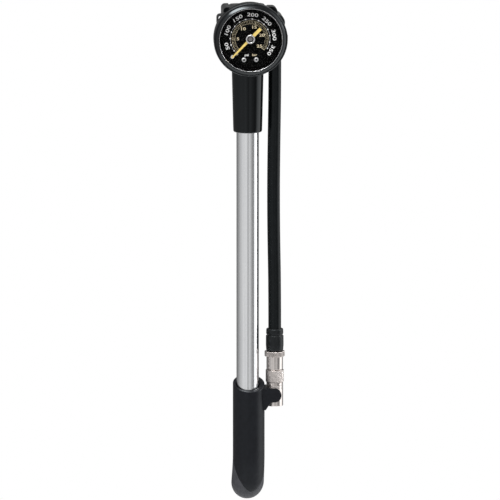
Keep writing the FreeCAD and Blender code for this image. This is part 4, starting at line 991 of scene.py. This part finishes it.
def makeRoom():
    world = bpy.data.worlds.new("studio")
    bpy.context.scene.world = world
    world.use_nodes = True
    world.node_tree.nodes.clear()
    room = roomNode("ShaderNodeBackground")
    room.inputs["Color"].default_value = (1, 1, 1, 1)
    roomLink(roomBrightness(), room.inputs["Strength"])
    white = roomNode("ShaderNodeBackground")
    white.inputs["Color"].default_value = (1, 1, 1, 1)
    mix = roomNode("ShaderNodeMixShader")
    roomLink(backgroundShare(), mix.inputs["Fac"])
    roomLink(room.outputs["Background"], mix.inputs[1])
    roomLink(white.outputs["Background"], mix.inputs[2])
    output = roomNode("ShaderNodeOutputWorld")
    roomLink(mix.outputs["Shader"], output.inputs["Surface"])


def makeFloor():
    data = bpy.data.meshes.new("floor")
    reach, level = studio["floorReach"], studio["floor"]
    data.from_pydata([(-reach, -reach, level), (reach, -reach, level), (reach, reach, level),
                      (-reach, reach, level)], [], [(0, 1, 2, 3)])
    floor = bpy.data.objects.new("floor", data)
    bpy.context.scene.collection.objects.link(floor)
    finish = Finish("floorPale", Roughness=0.8)
    finish.tint(finish.grain(studio["floorGrain"]), (0.86, 0.86, 0.86), (0.9, 0.9, 0.9))
    glow = finish.add("ShaderNodeEmission")       # lifts the floor to white and leaves the shadow on it
    seen = finish.add("ShaderNodeLightPath")
    finish.link(seen.outputs["Is Camera Ray"], glow.inputs["Strength"])
    both = finish.add("ShaderNodeAddShader")
    finish.link(finish.shader.outputs["BSDF"], both.inputs[0])
    finish.link(glow.outputs["Emission"], both.inputs[1])
    finish.link(both.outputs["Shader"], finish.tree.nodes["Material Output"].inputs["Surface"])
    data.materials.append(finish.material)


def makeLamps():
    aim = Vector(camera["aim"]) * mm
    for name, around, up, distance, width, height, watts in studio["lamps"]:
        data = bpy.data.lights.new(name, "AREA")
        data.shape = "RECTANGLE"
        data.size, data.size_y = width, height
        data.energy = watts
        lamp = bpy.data.objects.new(name, data)
        bpy.context.scene.collection.objects.link(lamp)
        around, up = math.radians(around), math.radians(up)
        away = Vector((math.sin(around) * math.cos(up), -math.cos(around) * math.cos(up), math.sin(up)))
        lamp.location = aim + away * distance
        lamp.rotation_euler = away.to_track_quat("Z", "Y").to_euler()


makeRoom()
makeFloor()
makeLamps()
bpy.context.scene.view_settings.view_transform = "Standard"
print("studio lit")
